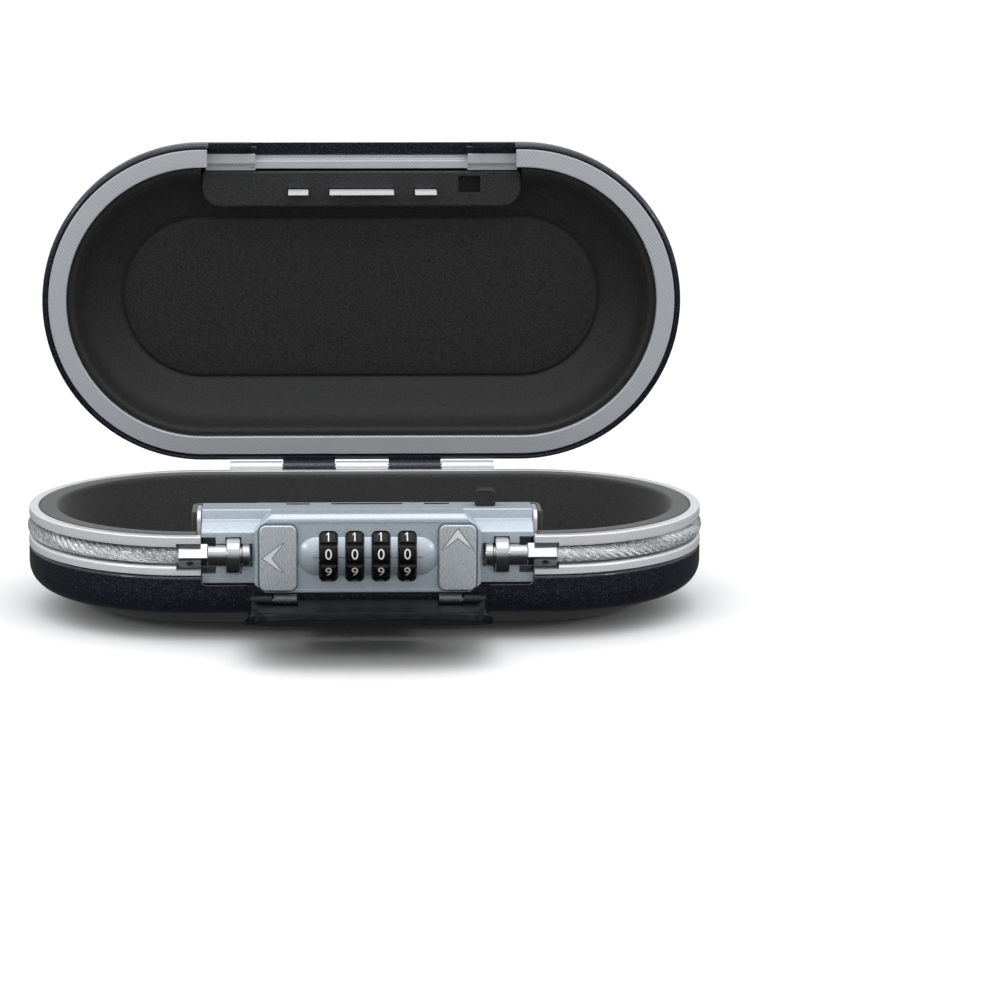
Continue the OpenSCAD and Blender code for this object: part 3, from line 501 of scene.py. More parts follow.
# %% Flake paint of the shells
flake_scale = 4000
shell_paint = finish("shell_paint", (0.006, 0.006, 0.012), 0.36, metallic=0.5,
                     Coat_Weight=0.75, Coat_Roughness=0.07)
flakes = pattern(shell_paint, "ShaderNodeTexVoronoi", flake_scale)
vary_colour(shell_paint, flakes.outputs["Color"], [
    (0.0, (0.0030, 0.0033, 0.0068)),
    (0.60, (0.0080, 0.0088, 0.0180)),
    (0.80, (0.030, 0.033, 0.060)),
    (1.0, (0.12, 0.13, 0.20)),
])
emboss(shell_paint, flakes.outputs["Color"], 0.12, 0.02)
print("Flake width in mm:", round(1 / flake_scale / mm, 2))

# %% [markdown]
# ### Metals
# Bare metal is told apart by its reflections. Brushing stretches the highlight, so the casting gets
# noise drawn out along the box; the ring in the lid carries the slanted tool marks of its cutter;
# polished steel stays almost smooth, with faint smears that only change its roughness.


# %% Brushed, satin and polished metals
def metal(name, colour, roughness, spread, stretch=(1, 1, 1), scale=900, strength=0.06, bare=1.0):
    """A metal whose roughness and surface follow one noise, bare or under a thin satin layer."""
    material = finish(name, colour, roughness, metallic=bare)
    marks = pattern(material, "ShaderNodeTexNoise", scale, stretch, Detail=4.0)
    dark = tuple(0.93 * value for value in colour)
    light = tuple(min(1.0, 1.05 * value) for value in colour)
    vary_colour(material, marks.outputs["Fac"], [(0.3, dark), (0.7, light)])
    vary_roughness(material, marks.outputs["Fac"], roughness - spread, roughness + spread)
    emboss(material, marks.outputs["Fac"], strength, 0.02)
    return material


lock_zinc = metal("lock_zinc", (0.49, 0.555, 0.61), 0.32, 0.06, stretch=(0.3, 1, 1),
                  scale=2600, strength=0.03, bare=0.35)
button_zinc = metal("button_zinc", (0.62, 0.67, 0.715), 0.28, 0.06, stretch=(1, 1, 0.15),
                    scale=3000, bare=0.45)
channel_silver = metal("channel_silver", (0.78, 0.79, 0.81), 0.34, 0.05,
                       scale=1500, strength=0.05, bare=0.5)
# The strike tabs' own silver; on the button arrows the same brighter finish is a painted highlight,
# standing for light on an engraving's slanted floor.
tab_silver_and_arrow_highlight = metal("tab_silver_and_arrow_highlight", (0.84, 0.85, 0.86), 0.36, 0.05, scale=1800, strength=0.05, bare=0.25)
polished_steel = metal("polished_steel", (0.46, 0.47, 0.49), 0.20, 0.06, scale=350, strength=0.02)
dark_steel = metal("dark_steel", (0.16, 0.16, 0.17), 0.34, 0.08, scale=800)
cam_brass = metal("cam_brass", (0.66, 0.47, 0.17), 0.30, 0.08, stretch=(1, 1, 0.1), scale=1800)
rope_steel = metal("rope_steel", (0.84, 0.85, 0.86), 0.26, 0.08, scale=1200, bare=0.6)
metals = (lock_zinc, button_zinc, channel_silver, tab_silver_and_arrow_highlight,
          polished_steel, dark_steel, cam_brass, rope_steel)
print("Metals made:", [material.name for material in metals])

# %% Machined ring of the lid
mark_scale = 330
rim_alloy = finish("rim_alloy", (0.50, 0.52, 0.55), 0.40, metallic=0.45)
tool_marks = pattern(rim_alloy, "ShaderNodeTexWave", mark_scale, turn=(0, 40, 0),
                     Distortion=1.2, Detail=2.0)
tool_marks.bands_direction = "X"
vary_colour(rim_alloy, tool_marks.outputs["Fac"], [(0.2, (0.47, 0.49, 0.525)), (0.8, (0.57, 0.59, 0.625))])
vary_roughness(rim_alloy, tool_marks.outputs["Fac"], 0.36, 0.46)
emboss(rim_alloy, tool_marks.outputs["Fac"], 0.12, 0.03)
print("Ring tool marks in mm:", round(2 * math.pi / 20 / mark_scale / mm, 2))

# %% [markdown]
# ### Plastics, rubber, foam and felt
# The moulded pieces have a spark-eroded grain, a fine random relief that breaks up the gloss. Foam
# shows open cells as dark and light specks, and felt is a mat of fibres, so its noise is finer and its
# sheen softer.


# %% Plastics, rubber, foam and felt
def grained(name, dark, light, roughness, scale, strength, depth, **sockets):
    """A matt material with a random relief, coloured a little by the same relief."""
    material = finish(name, dark, roughness, **sockets)
    grain = pattern(material, "ShaderNodeTexNoise", scale, Detail=5.0, Roughness=0.65)
    vary_colour(material, grain.outputs["Fac"], [(0.35, dark), (0.68, light)])
    vary_roughness(material, grain.outputs["Fac"], roughness - 0.06, roughness + 0.06)
    emboss(material, grain.outputs["Fac"], strength, depth)
    return material


cover_plastic = grained("cover_plastic", (0.0030, 0.0036, 0.0052), (0.0065, 0.0074, 0.0098), 0.34,
                        2600, 0.20, 0.04, Specular_IOR_Level=0.22)
strike_plastic = grained("strike_plastic", (0.0050, 0.0051, 0.0056), (0.0400, 0.0400, 0.0420), 0.45,
                         1500, 0.75, 0.12)
dial_plastic = grained("dial_plastic", (0.0040, 0.0040, 0.0045), (0.0075, 0.0075, 0.0085), 0.30,
                       900, 0.03, 0.02, Specular_IOR_Level=0.22)
digit_paint = grained("digit_paint", (0.72, 0.72, 0.70), (0.84, 0.84, 0.82), 0.5, 2500, 0.1, 0.01)
plug_rubber = grained("plug_rubber", (0.0100, 0.0105, 0.0115), (0.0190, 0.0195, 0.0210), 0.60,
                      1500, 0.25, 0.05)
lid_foam = grained("lid_foam", (0.0020, 0.0020, 0.0020), (0.0240, 0.0240, 0.0240), 0.58,
                   1700, 0.90, 0.22, Sheen_Weight=0.04, Sheen_Roughness=0.5, Specular_IOR_Level=0.4)
felt_scale = 2600
base_felt = grained("base_felt", (0.0160, 0.0160, 0.0165), (0.0650, 0.0650, 0.0660), 0.95,
                    felt_scale, 0.70, 0.20, Sheen_Weight=0.35, Sheen_Roughness=0.45)
print("Width of the felt's grain in mm:", round(1 / felt_scale / mm, 2))

# %% Clear vinyl of the cable
jacket_vinyl = finish("jacket_vinyl", (0.90, 0.93, 0.95), 0.05, Transmission_Weight=1.0, IOR=1.45)
drawing_lines = pattern(jacket_vinyl, "ShaderNodeTexNoise", 120, Detail=2.0)
vary_roughness(jacket_vinyl, drawing_lines.outputs["Fac"], 0.03, 0.10)
emboss(jacket_vinyl, drawing_lines.outputs["Fac"], 0.05, 0.05)
print("Finishes made:", sum(material.name.endswith("_finish") for material in bpy.data.materials))


# %% Give a piece its finish and its place in the assembly
def dress(piece, material, slot, body, *nodes):
    """Finish a piece, let it ride on a CAD body and stand for CAD nodes."""
    piece.data.materials.clear()
    piece.data.materials.append(material)
    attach(piece, body)
    if nodes:
        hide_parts(*nodes)
    print(piece.name, "rides", body, "with", len(piece.data.polygons), "faces")


def swing(piece, hinge, degrees):
    """Turn a piece, drawn as in the closed box, about a hinge along X to where it rests."""
    edit(piece)
    bpy.ops.transform.rotate(value=math.radians(degrees), orient_axis="X", center_override=hinge * mm)
    bpy.ops.object.mode_set(mode="OBJECT")


# %% [markdown]
# ## Base shell
# The lower shell is moulded in one piece: a flat floor, a sloped belly, a generous rounded edge and an
# upright rim. Its half section is swept round the racetrack. A subdivided cube would also give the
# outline, but a swept section keeps the edge radius exact and the highlight along it even.

# %% Half section of a shell
wall = 2.0
belly_reach = 28.5
flat_r = end_r - belly_reach
edge_r = 8.5
edge_x = end_r - edge_r
belly_slope = 21.8
belly = math.radians(belly_slope)
edge_z = (edge_r + (edge_x - flat_r) * math.sin(belly)) / math.cos(belly)
crease_r = 20
crease_x = flat_r - crease_r * math.tan(belly / 2)
front_y = -end_r


def shell_line(inset, rim):
    """From the middle line out along the floor, up the belly and round the edge to the rim."""
    return ([(0, inset)]
            + arc((crease_x, crease_r), crease_r - inset, -90, belly_slope - 90, 5)
            + arc((edge_x, edge_z), edge_r - inset, belly_slope - 90, 0, 20)
            + [(end_r - inset, rim)])


def shell_section(rim, lip):
    """A wall with a rounded lip, open on the middle line."""
    lip_arc = arc((end_r - lip, rim - lip), lip, 0, 90, 4)
    return shell_line(0, rim - lip)[:-1] + lip_arc + shell_line(wall, rim)[::-1]


print("Edge centre:", round(edge_x, 2), round(edge_z, 2))

# %% Sweep the base shell and cut its front
lock_low, lock_high = node_box("lock_body")
plate_half = lock_high.x
lock_half = node_box("lock_back_plate")[1].x
lock_z0 = lock_low.z
lock_z1 = lock_high.z
fit = 0.2
plate_z0 = cable_z - 9.8
corner_x = lock_half - 3.8
shoulder = 1.6
base_shell = round_case("base_shell_piece", shell_section(base_h, shoulder), closed=False)
lock_notch = rounded([
    (-plate_half - fit, base_h + 5), (-plate_half - fit, plate_z0 - fit),
    (-lock_half - fit, plate_z0 - fit), (-corner_x - fit, lock_z0 - fit),
    (corner_x + fit, lock_z0 - fit), (lock_half + fit, plate_z0 - fit),
    (plate_half + fit, plate_z0 - fit), (plate_half + fit, base_h + 5),
], [0, 2.0, 0.4, 1.0, 1.0, 0.4, 2.0, 0], steps=4)
cover_half = node_box("lock_cover")[1].x
recess = rounded([
    (-cover_half - 1, base_h + 5), (-cover_half - 1, 9), (cover_half + 1, 9), (cover_half + 1, base_h + 5),
], [0, 6, 6, 0])
cut(base_shell, panel("lock_notch", lock_notch, front_y - 2, front_y + 9),
    panel("cover_recess", recess, front_y - 2, front_y + 1))
print("Base shell faces after its cuts:", len(base_shell.data.polygons))

# %% Add the cover's lugs and the screw wells of the base shell
lug_r = 2.0
lug_x = (24, 32)
well_r = 3.0
tube_r = 4.0
screw_bore_r = 1.5
screw_low, screw_high = node_box("lock_screws")
screw_x = screw_high.x - (screw_high.y - screw_low.y) / 2
screw_y = (screw_high.y + screw_low.y) / 2
lug_section = arc(cover_hinge.yz, lug_r, 90, 270, 12) + [
    (front_y + 1.6, cover_hinge.z - lug_r), (front_y + 1.6, cover_hinge.z + lug_r)]
pin_bore = half_height("cover_hinge_pins") + 0.1
base_parts = [base_shell]
for side in (-1, 1):
    lug = round_edges(bar("lug", lug_section, *on_side(side, *lug_x)), 0.3)
    lug_bore = cylinder("bore", (side * sum(lug_x) / 2, cover_hinge.y, cover_hinge.z), pin_bore, "x", 12)
    base_parts.append(cut(lug, lug_bore))
    well = (side * screw_x, screw_y)
    cut(base_shell, cylinder("well", (*well, 6), well_r, "z", 14))
    screw_tube = cylinder("tube", (*well, 12.5), tube_r, "z", 9.4)
    base_parts.append(cut(screw_tube, cylinder("well", (*well, 5.5), well_r, "z", 13),
                          cylinder("bore", (*well, 12), screw_bore_r, "z", 20)))
base_shell = join("base_shell_piece", *base_parts)
smooth(base_shell)
dress(base_shell, shell_paint, "shell_paint", "base", "base_shell")

# %% [markdown]
# ## Floor
# A sheet of white paper lies under the box and takes its shadow. A plain white world would leave the
# box floating, so a large plane is staged, and it is kept out of the reflections.

# %% Lay the floor
floor_size = 16
deselect_all()
bpy.ops.mesh.primitive_plane_add(size=floor_size)
floor = bpy.context.object
floor.name = "floor"
floor_paper = finish("floor_paper", (0.90, 0.90, 0.90), 0.85, Specular_IOR_Level=0.0)
paper = pattern(floor_paper, "ShaderNodeTexNoise", 6, Detail=3.0)
vary_colour(floor_paper, paper.outputs["Fac"], [(0.3, (0.89, 0.89, 0.89)), (0.7, (0.91, 0.91, 0.91))])
floor.data.materials.append(floor_paper)
floor.visible_glossy = False
print("Floor laid, metres wide:", floor_size)

# %% [markdown]
# ## Cable channel
# A bright frame sits on the lower shell. It has a lip below and a lip above the cable, and the cable
# lies in the groove between them. The section is drawn with rounded lips, because a satin lip shows as
# one soft light line, and swept as the shell was. The lock stands in a gap at the front between two
# upright end walls, and three hinge knuckles stand at the back.

# %% Sweep the channel
parting = cable_z + 7.0
groove_half = jacket_r + fit
groove_floor = cable_r - groove_half
lower_lip_z = cable_z - groove_half
upper_lip_z = cable_z + groove_half
channel_in = groove_floor - 2
step_r = end_r - 3.5
step_z = parting - 2
skirt_r = end_r - wall - fit
skirt_z = base_h - 2.6
lip_out = end_r - fit
channel_section = rounded([
    (end_r, base_h), (end_r, lower_lip_z), (groove_floor, lower_lip_z), (groove_floor, upper_lip_z),
    (lip_out, upper_lip_z), (lip_out, parting), (step_r, parting), (step_r, step_z), (channel_in, step_z),
    (channel_in, skirt_z), (skirt_r, skirt_z), (skirt_r, base_h),
], [0.25, 1.1, 1.6, 1.6, 1.0, 0.5, 0.2, 0, 0.3, 0, 0, 0], steps=4)
cable_channel = round_case("cable_channel_piece", channel_section)
lock_gap = plate_half + fit
block_end = node_box("cable_fitting_right")[1].x
clamp_half = 4.4
block_half = clamp_half + fit
cut(cable_channel,
    box("lock_gap", (-lock_gap, front_y - 2, 0), (lock_gap, front_y + 23, parting + 2)),
    box("block_room", (-block_end - 0.6, front_y - 2, cable_z - block_half),
        (block_end + 0.6, block_half - cable_r, cable_z + block_half)))
print("Channel faces:", len(cable_channel.data.polygons))

# %% Add the hinge knuckles of the base
knuckle_r = 2.5
knuckle_l = 20
knuckle_play = 0.3
base_knuckle_x = (-40, 0, 40)
lid_knuckle_x = (-20, 20)
hinge_pin_r = half_height("lid_hinge_pin")
pin_play = 0.06
lid_z = 2 * lid_hinge.z - parting
base_knuckle = [(end_r - 1.5, lid_hinge.z - knuckle_r)] + arc(lid_hinge.yz, knuckle_r, -90, 180, 24) + [
    (lid_hinge.y - knuckle_r, parting), (end_r - 1.5, parting)]
lid_knuckle = [(end_r - 1.5, lid_z), (lid_hinge.y - knuckle_r, lid_z)] + arc(
    lid_hinge.yz, knuckle_r, -180, 90, 24) + [(end_r - 1.5, lid_hinge.z + knuckle_r)]


def knuckles(section, places):
    """Hinge knuckles along X, each bored for the pin."""
    row = []
    for x in places:
        start = x - knuckle_l / 2 + knuckle_play / 2
        knuckle = round_edges(bar("knuckle", section, start, start + knuckle_l - knuckle_play), 0.25)
        bore = cylinder("bore", (x, lid_hinge.y, lid_hinge.z), hinge_pin_r + pin_play, "x", knuckle_l + 2)
        row.append(cut(knuckle, bore))
    return row


wall_y = front_y + 9.5
end_wall = rounded([(wall_y, parting - 4), (lock_high.y + 1, parting - 4), (lock_high.y + 1, lock_z1 - 0.8),
                    (wall_y, lock_z1 - 0.8)], [0, 0, 1, 3.5])
channel_parts = [cable_channel] + knuckles(base_knuckle, base_knuckle_x)
for side in (-1, 1):
    ends = on_side(side, plate_half + 0.25, plate_half + 1.7)
    channel_parts.append(round_edges(bar("end_wall", end_wall, *ends), 0.3))
cable_channel = join("cable_channel_piece", *channel_parts)
smooth(cable_channel)
dress(cable_channel, channel_silver, "channel_silver", "base", "cable_channel")

# %% [markdown]
# ## Lid shell and the ring in it
# The lid is the same shell turned over. It is drawn closed, with its heights counted from the top of
# the box, and then swung open about the hinge, as the real lid is. Its front is cut away for the lock
# and for the cover that closes over it. A machined ring stiffens the rim, with a stepped strip at the
# front where the strike sits.

# %% Sweep the lid shell and cut its front
lid_deep = 22.8
case_h = lid_z + lid_deep
lid_rim_h = case_h - lid_z
strike_z = lock_z1 + 0.5
strike_front = front_y + 7.8
plate_z1 = cable_z + 8
room_half = cover_half + 0.7
centre_x = lock_half + 1.3
cover_face = [(cover_hinge.y - 1.6, cover_hinge.z - 1.8), (front_y - 6.4, cable_z - 7.4),
              (front_y - 6.4, cable_z + 2), (front_y - 5.0, cable_z + 9.4), (front_y + 0.6, cable_z + 23.5)]


def from_top(section):
    """Heights counted down from the top of the box."""
    return [(r, case_h - z) for r, z in section]


lid_shell = round_case("lid_shell_piece", from_top(shell_section(lid_rim_h, shoulder)), closed=False)
lip_half = centre_x - 0.3
lip_y = front_y + 4.9
front_lip = box("front_lip", (-lip_half, front_y + wall - 0.3, strike_z + 0.3),
                (lip_half, lip_y, strike_z + 2.6))
bend_y, bend_z = cover_face[3]
tip_y, tip_z = cover_face[4]
cover_room = [
    (-90, 0), (-90, 70), (tip_y + 0.3, 70), (tip_y + 2.0, tip_z + 1.2),
    (tip_y + 1.4, tip_z - 1.6), (bend_y + 2.4, bend_z - 0.4), (bend_y + 2.3, 0),
]
cut(lid_shell,
    box("lock_room", (-room_half, front_y - 2, 0), (room_half, strike_front, strike_z)),
    box("plate_room", (-plate_half - 0.7, front_y - 2, 0),
        (plate_half + 0.7, front_y + wall + 1, plate_z1 + 1)),
    bar("cover_room", cover_room, -room_half, room_half))
front_lips = [round_edges(front_lip, 0.5)]
side_z = plate_z1 + 4
for side in (-1, 1):
    low_x, high_x = on_side(side, centre_x - 0.6, plate_half + 0.9)
    side_lip = box("side_lip", (low_x, front_y + wall - 0.4, side_z + 0.3),
                   (high_x, lip_y - 0.4, strike_z + 1))
    front_lips.append(round_edges(side_lip, 0.4))
lid_shell = join("lid_shell_piece", lid_shell, *front_lips, *knuckles(lid_knuckle, lid_knuckle_x))
swing(lid_shell, lid_hinge, 90)
smooth(lid_shell)
dress(lid_shell, shell_paint, "shell_paint", "lid", "lid_shell")
print("Lid shell box:", [round(value / mm, 1) for value in lid_shell.bound_box[0]],
      "CAD:", [round(value, 1) for value in node_box("lid_shell")[0]])

# %% Make the machined ring and its front strip
rim_out = end_r - wall - 0.3
rim_in = rim_out - 6.8
rim_t = 2.3
step_x = plate_half + 1.2
web = 1.8
strip_y = lip_y + 0.1
strip_back = strip_y + 5.1
block_front = strip_y - 0.7
block_back = strip_back + 0.7
strip_top = strike_z + 2
ring = round_case("lid_rim_piece", rounded(
    rectangle((rim_in, lid_z), (rim_out, lid_z + rim_t)), [0.5, 0.5, 0.2, 0.2], steps=3))
cut(ring, box("front_gap", (-step_x, front_y - 2, 0), (step_x, 0, case_h)))
strip_half = centre_x + web
front_strip = box("strip", (-strip_half, strip_y, strike_z + 0.1), (strip_half, strip_back, strip_top))
step_line = [(strip_y - 1, strike_z - 1), (strip_y + 3, strike_z - 1), (strip_y + 1.6, strike_z + 1.1),
             (strip_y - 1, strike_z + 1.1)]
rim_parts = [ring, round_edges(cut(front_strip, bar("step", step_line, -centre_x, centre_x)), 0.25)]
block_section = [(block_front, side_z), (block_back - 2.9, side_z), (block_back - 1.5, strike_z + 0.1),
                 (block_back, strike_z + 0.1), (block_back, strip_top), (block_front, strip_top)]
for side in (-1, 1):
    ends = on_side(side, centre_x, step_x + web / 2)
    rim_parts.append(round_edges(bar("block", block_section, *ends), 0.3))
    low_x, high_x = on_side(side, step_x, step_x + web)
    end_web = box("end_web", (low_x, 0.8 - rim_out, lid_z + 0.06), (high_x, strike_front - fit, strip_top))
    rim_parts.append(round_edges(end_web, 0.4))
lid_rim = join("lid_rim_piece", *rim_parts)
swing(lid_rim, lid_hinge, 90)
smooth(lid_rim)
dress(lid_rim, rim_alloy, "rim_alloy", "lid", "lid_rim")

# %% [markdown]
# ## Linings
# The lid is lined with pressed foam: a rolled bead inside the ring, a wall that slopes down to a flat
# panel, and a fine crease round the panel. The base is lined with felt, turned over the rim and stood
# up round the lock. Cloth simulation suits loose covers, but these are moulded to the shells, so their
# sections are drawn with soft bends and swept, and their surface comes from the finish.

# %% Press the foam of the lid
lining_gap = 0.4
foam_back = shell_line(wall + lining_gap, 20.0)
foam_face = [
    (51.6, 20.1), (50.9, 20.6), (50.0, 21.0), (49.0, 20.95), (48.1, 20.4), (47.55, 19.4), (47.3, 18.0),
    (46.6, 15.9), (45.4, 13.6), (43.8, 11.8), (41.5, 10.3), (38.5, 8.9), (35.0, 7.4), (32.2, 6.2),
    (31.4, 5.6), (31.0, 5.0), (30.6, 4.95), (30.1, 5.5), (29.3, 5.85), (24.0, 5.95), (0, 5.95),
]
lid_liner = round_case("lid_liner_piece", from_top(foam_back + foam_face), closed=False)
strike_half = plate_half + 3.5
strike_back = node_box("lock_back_plate")[1].y + 1.6
strike_plan = rounded(rectangle((-strike_half - 0.2, 2 * front_y), (strike_half + 0.2, strike_back + 0.2)),
                      [0, 0, 7.2, 7.2])
cut(lid_liner, slab("strike_room", strike_plan, 0, case_h + 5))
swing(lid_liner, lid_hinge, 90)
smooth(lid_liner, 50)
dress(lid_liner, lid_foam, "lid_foam", "lid", "lid_liner")

# %% Lay the felt of the base
felt_t = 2.5
felt_out = channel_in - 0.4
felt_in = felt_out - felt_t + 0.1
belly_rise = math.tan(belly)
felt_low = wall + lining_gap
felt_flat = flat_r - 0.5
flange_r = step_r - 0.4
felt_section = [
    (0, felt_low), (felt_flat, felt_low), (felt_out, felt_low + (felt_out - felt_flat) * belly_rise),
    (felt_out, step_z + 0.15), (flange_r, step_z + 0.15),
    (flange_r, parting - 0.7), (flange_r - 0.25, parting - 0.25), (flange_r - 0.8, parting),
    (felt_in + 1.3, parting), (felt_in + 0.5, parting - 0.3), (felt_in + 0.1, parting - 0.9),
    (felt_in, parting - 1.8), (felt_in, 16.0), (felt_in - 0.4, 14.6), (felt_in - 1.4, 13.4),
    (felt_flat + 1.5, felt_low + felt_t + 0.6), (felt_flat - 1.0, felt_low + felt_t),
    (0, felt_low + felt_t),
]
base_liner = round_case("base_liner_piece", felt_section, closed=False)
pen_x = plate_half + 1.85
pen_t = strike_half - pen_x
pen_y = node_box("lock_back_plate")[1].y + 0.6
cut(base_liner, box("lock_room", (-pen_x, 2 * front_y, 0), (pen_x, pen_y, parting + 9)))
pen_plan = rounded([
    (-pen_x - pen_t, 0.3 - felt_in), (-pen_x, 0.3 - felt_in), (-pen_x, pen_y), (pen_x, pen_y),
    (pen_x, 0.3 - felt_in), (pen_x + pen_t, 0.3 - felt_in), (pen_x + pen_t, pen_y + felt_t),
    (-pen_x - pen_t, pen_y + felt_t),
], [0.6, 0.6, 1.0, 1.0, 0.6, 0.6, 3.0, 3.0])
lock_pen = round_edges(slab("lock_pen", pen_plan, 12.5, lock_z1 - 1), 0.6)
base_liner = join("base_liner_piece", base_liner, lock_pen)
smooth(base_liner, 50)
dress(base_liner, base_felt, "base_felt", "base", "base_liner")

# %% [markdown]
# ## Strike in the lid
# A black moulding under the front of the lid carries a plate with three tabs. The tabs drop through
# slots into the lock when the lid closes, and the latch bar hooks them. The moulding is a slab with two
# large round corners, cut off along the slope of the lid, and the tabs come out of slots in its face.

# %% Mould the strike housing
housing_front = block_back + 0.15
housing_plan = rounded(rectangle((-strike_half, housing_front), (strike_half, strike_back)), [1, 1, 7, 7])
strike_housing = slab("strike_housing_piece", housing_plan, strike_z, case_h)
slope_z = case_h - 4.4
slope_low = slope_z - (strike_back + 90) * belly_rise
lid_slope = [(-90, slope_low), (strike_back, slope_z), (strike_back + 5, slope_z + 2),
             (strike_back + 5, 90), (-90, 90)]
cut(strike_housing, bar("lid_slope", lid_slope, -strike_half - 5, strike_half + 5))
round_edges(strike_housing, 1.3, segments=5)
tabs = ((-27.5, -20.0), (-12.0, 12.0), (20.0, 28.0))
tab_y = node_box("lock_back_plate")[0].y - 2.25


def tab_slot(tab, play, half, low, high):
    """A cutter round one tab: play past its ends, half the slot's width, and two heights."""
    return box("tab_slot", (tab[0] - play, tab_y - half, low), (tab[1] + play, tab_y + half, high))


for tab in tabs:
    cut(strike_housing, tab_slot(tab, 0.4, 1.3, strike_z - 1, strike_z + 1.8))
plug_low, plug_high = node_box("port_plug")
cut(strike_housing, box("plug_room", (plug_low.x - 0.6, plug_low.y - 0.6, strike_z - 1),
                        (plug_high.x + 0.6, plug_high.y + 0.6, plug_high.z + 0.6)))
swing(strike_housing, lid_hinge, 90)
smooth(strike_housing)
dress(strike_housing, strike_plastic, "strike_plastic", "lid", "strike_housing")

# %% [markdown]
# ## Lock body
# The lock is a zinc casting: an eight-cornered housing in the middle, a stepped plate to each side with
# a pocket for a cable end, and a low round-ended dome in front that the dials look out of. Rounding the
# edges of one merged body fails where small edges meet, so the three forms are rounded while they are
# still simple, and then each gets the same openings.

# %% Shape the three forms of the casting
face_y = front_y + 0.5
plate_y = front_y + 2.8
lock_back = lock_high.y
dial_low, dial_high = node_box("dial_1")
dial_r = (dial_high.y - dial_low.y) / 2
dial_y = (dial_high.y + dial_low.y) / 2
pod_rise = face_y - lock_low.y
pod_tall = 12.4
pod_wide = 47.0
pod_r = (pod_tall**2 / 4 + pod_rise**2) / (2 * pod_rise)
pod_y = lock_low.y + pod_r
side_section = [
    (plate_y, plate_z0), (plate_y, plate_z1), (plate_y + 3.8, plate_z1 + 2.6),
    (plate_y + 6.4, plate_z1 + 2.9), (plate_y + 7, lock_z1), (lock_back, lock_z1), (lock_back, plate_z0),
]
side_plates = round_edges(bar("lock_body_piece", side_section, -plate_half, plate_half), 0.45)
housing_z1 = lock_z1 - 0.06
top_corner = (lock_half - 5.7, housing_z1)
side_corner = (lock_half, cable_z + 9)
housing_face = [
    (-lock_half, plate_z0), (-corner_x, lock_z0), (corner_x, lock_z0), (lock_half, plate_z0), side_corner,
    top_corner, (-top_corner[0], top_corner[1]), (-side_corner[0], side_corner[1]),
]
housing = panel("housing", housing_face, face_y, lock_back - 0.06)
top_chamfer = 1.5
edit(housing)
bpy.ops.mesh.bisect(plane_co=(0, face_y * mm, (housing_z1 - top_chamfer) * mm), plane_no=(0, -1, 1),
                    use_fill=True, clear_outer=True)
close_mesh()
face_rim = 1.2
face_sink = 0.35
sunk_face = [
    (-lock_half + face_rim, plate_z0 + 0.4), (-corner_x + 0.5, lock_z0 + face_rim),
    (corner_x - 0.5, lock_z0 + face_rim), (lock_half - face_rim, plate_z0 + 0.4),
    (lock_half - face_rim, side_corner[1] - 0.5),
    (top_corner[0] + 2.4, housing_z1 - top_chamfer - face_rim),
    (-top_corner[0] - 2.4, housing_z1 - top_chamfer - face_rim),
    (-lock_half + face_rim, side_corner[1] - 0.5),
]
round_edges(housing, 0.5)
cut(housing, panel("sunk_face", rounded(sunk_face, 0.8, steps=4), face_y - 1, face_y + face_sink))
pod_end = (pod_wide - pod_tall) / 2
pod_profile = arc((-pod_end, 0), pod_r, 180, 90, 16) + arc((pod_end, 0), pod_r, 90, 0, 16)
pod = lathe_x("pod", pod_profile, pod_y, cable_z, steps=96)
print("Pod radius:", round(pod_r, 2), "dial radius:", round(dial_r, 2))

# %% Draw the pockets for the cable ends
collar_x = (lock_half + 4.4, lock_half + 9.8)
neck_room = 4.05
collar_room = 6.35
block_room = 6.3
block_deep = 14
block_x = lock_half + 15.4


def soft_box(name, low, high, radius):
    """A cutter whose long edges along X are round."""
    section = rounded(rectangle((low[1], low[2]), (high[1], high[2])), radius, steps=5)
    return bar(name, section, low[0], high[0])


def fitting_pockets():
    """Room for one cable end in each side plate, open to the front."""
    pockets = []
    for side in (-1, 1):
        for start, end, room, back in ((lock_half + 0.6, plate_half + 2, neck_room, neck_room),
                                       (*collar_x, collar_room, collar_room),
                                       (block_x - 2.3, plate_half + 2, block_room, block_deep)):
            low_x, high_x = on_side(side, start, end)
            low = (low_x, plate_y - 8, cable_z - room)
            high = (high_x, back - cable_r, cable_z + room)
            pockets.append(soft_box("pocket", low, high, 0.3 * room))
    return pockets


def bolt_slot(side, near, far):
    """A cutter for the slot that a cable bolt slides in."""
    low_x, high_x = on_side(side, near, far)
    return box("bolt_slot", (low_x, face_y + 2.6, cable_z - 1.7), (high_x, face_y + 4.4, cable_z + 1.7))


print("Pocket rooms in mm:", neck_room, collar_room, block_room)

# %% Open the casting
dial_w = dial_high.x - dial_low.x
dial_places = [(node_box(f"dial_{n}")[0].x + node_box(f"dial_{n}")[1].x) / 2 for n in range(1, 5)]
slot_w = dial_w + 0.4
slot_h = 17.7
slot_back = face_y + face_sink + 0.2
pod_bore_r = 6.6
pod_bore_half = 19.4
button_w = 12.5
button_h = 22.5
button_x = lock_half - button_w / 2 - 1.75
button_z = cable_z - 0.3
plug_middle = (plug_low + plug_high) / 2
plug_hole_r = 1.6
latch_y = node_box("latch_bar")[0].y - 1.5


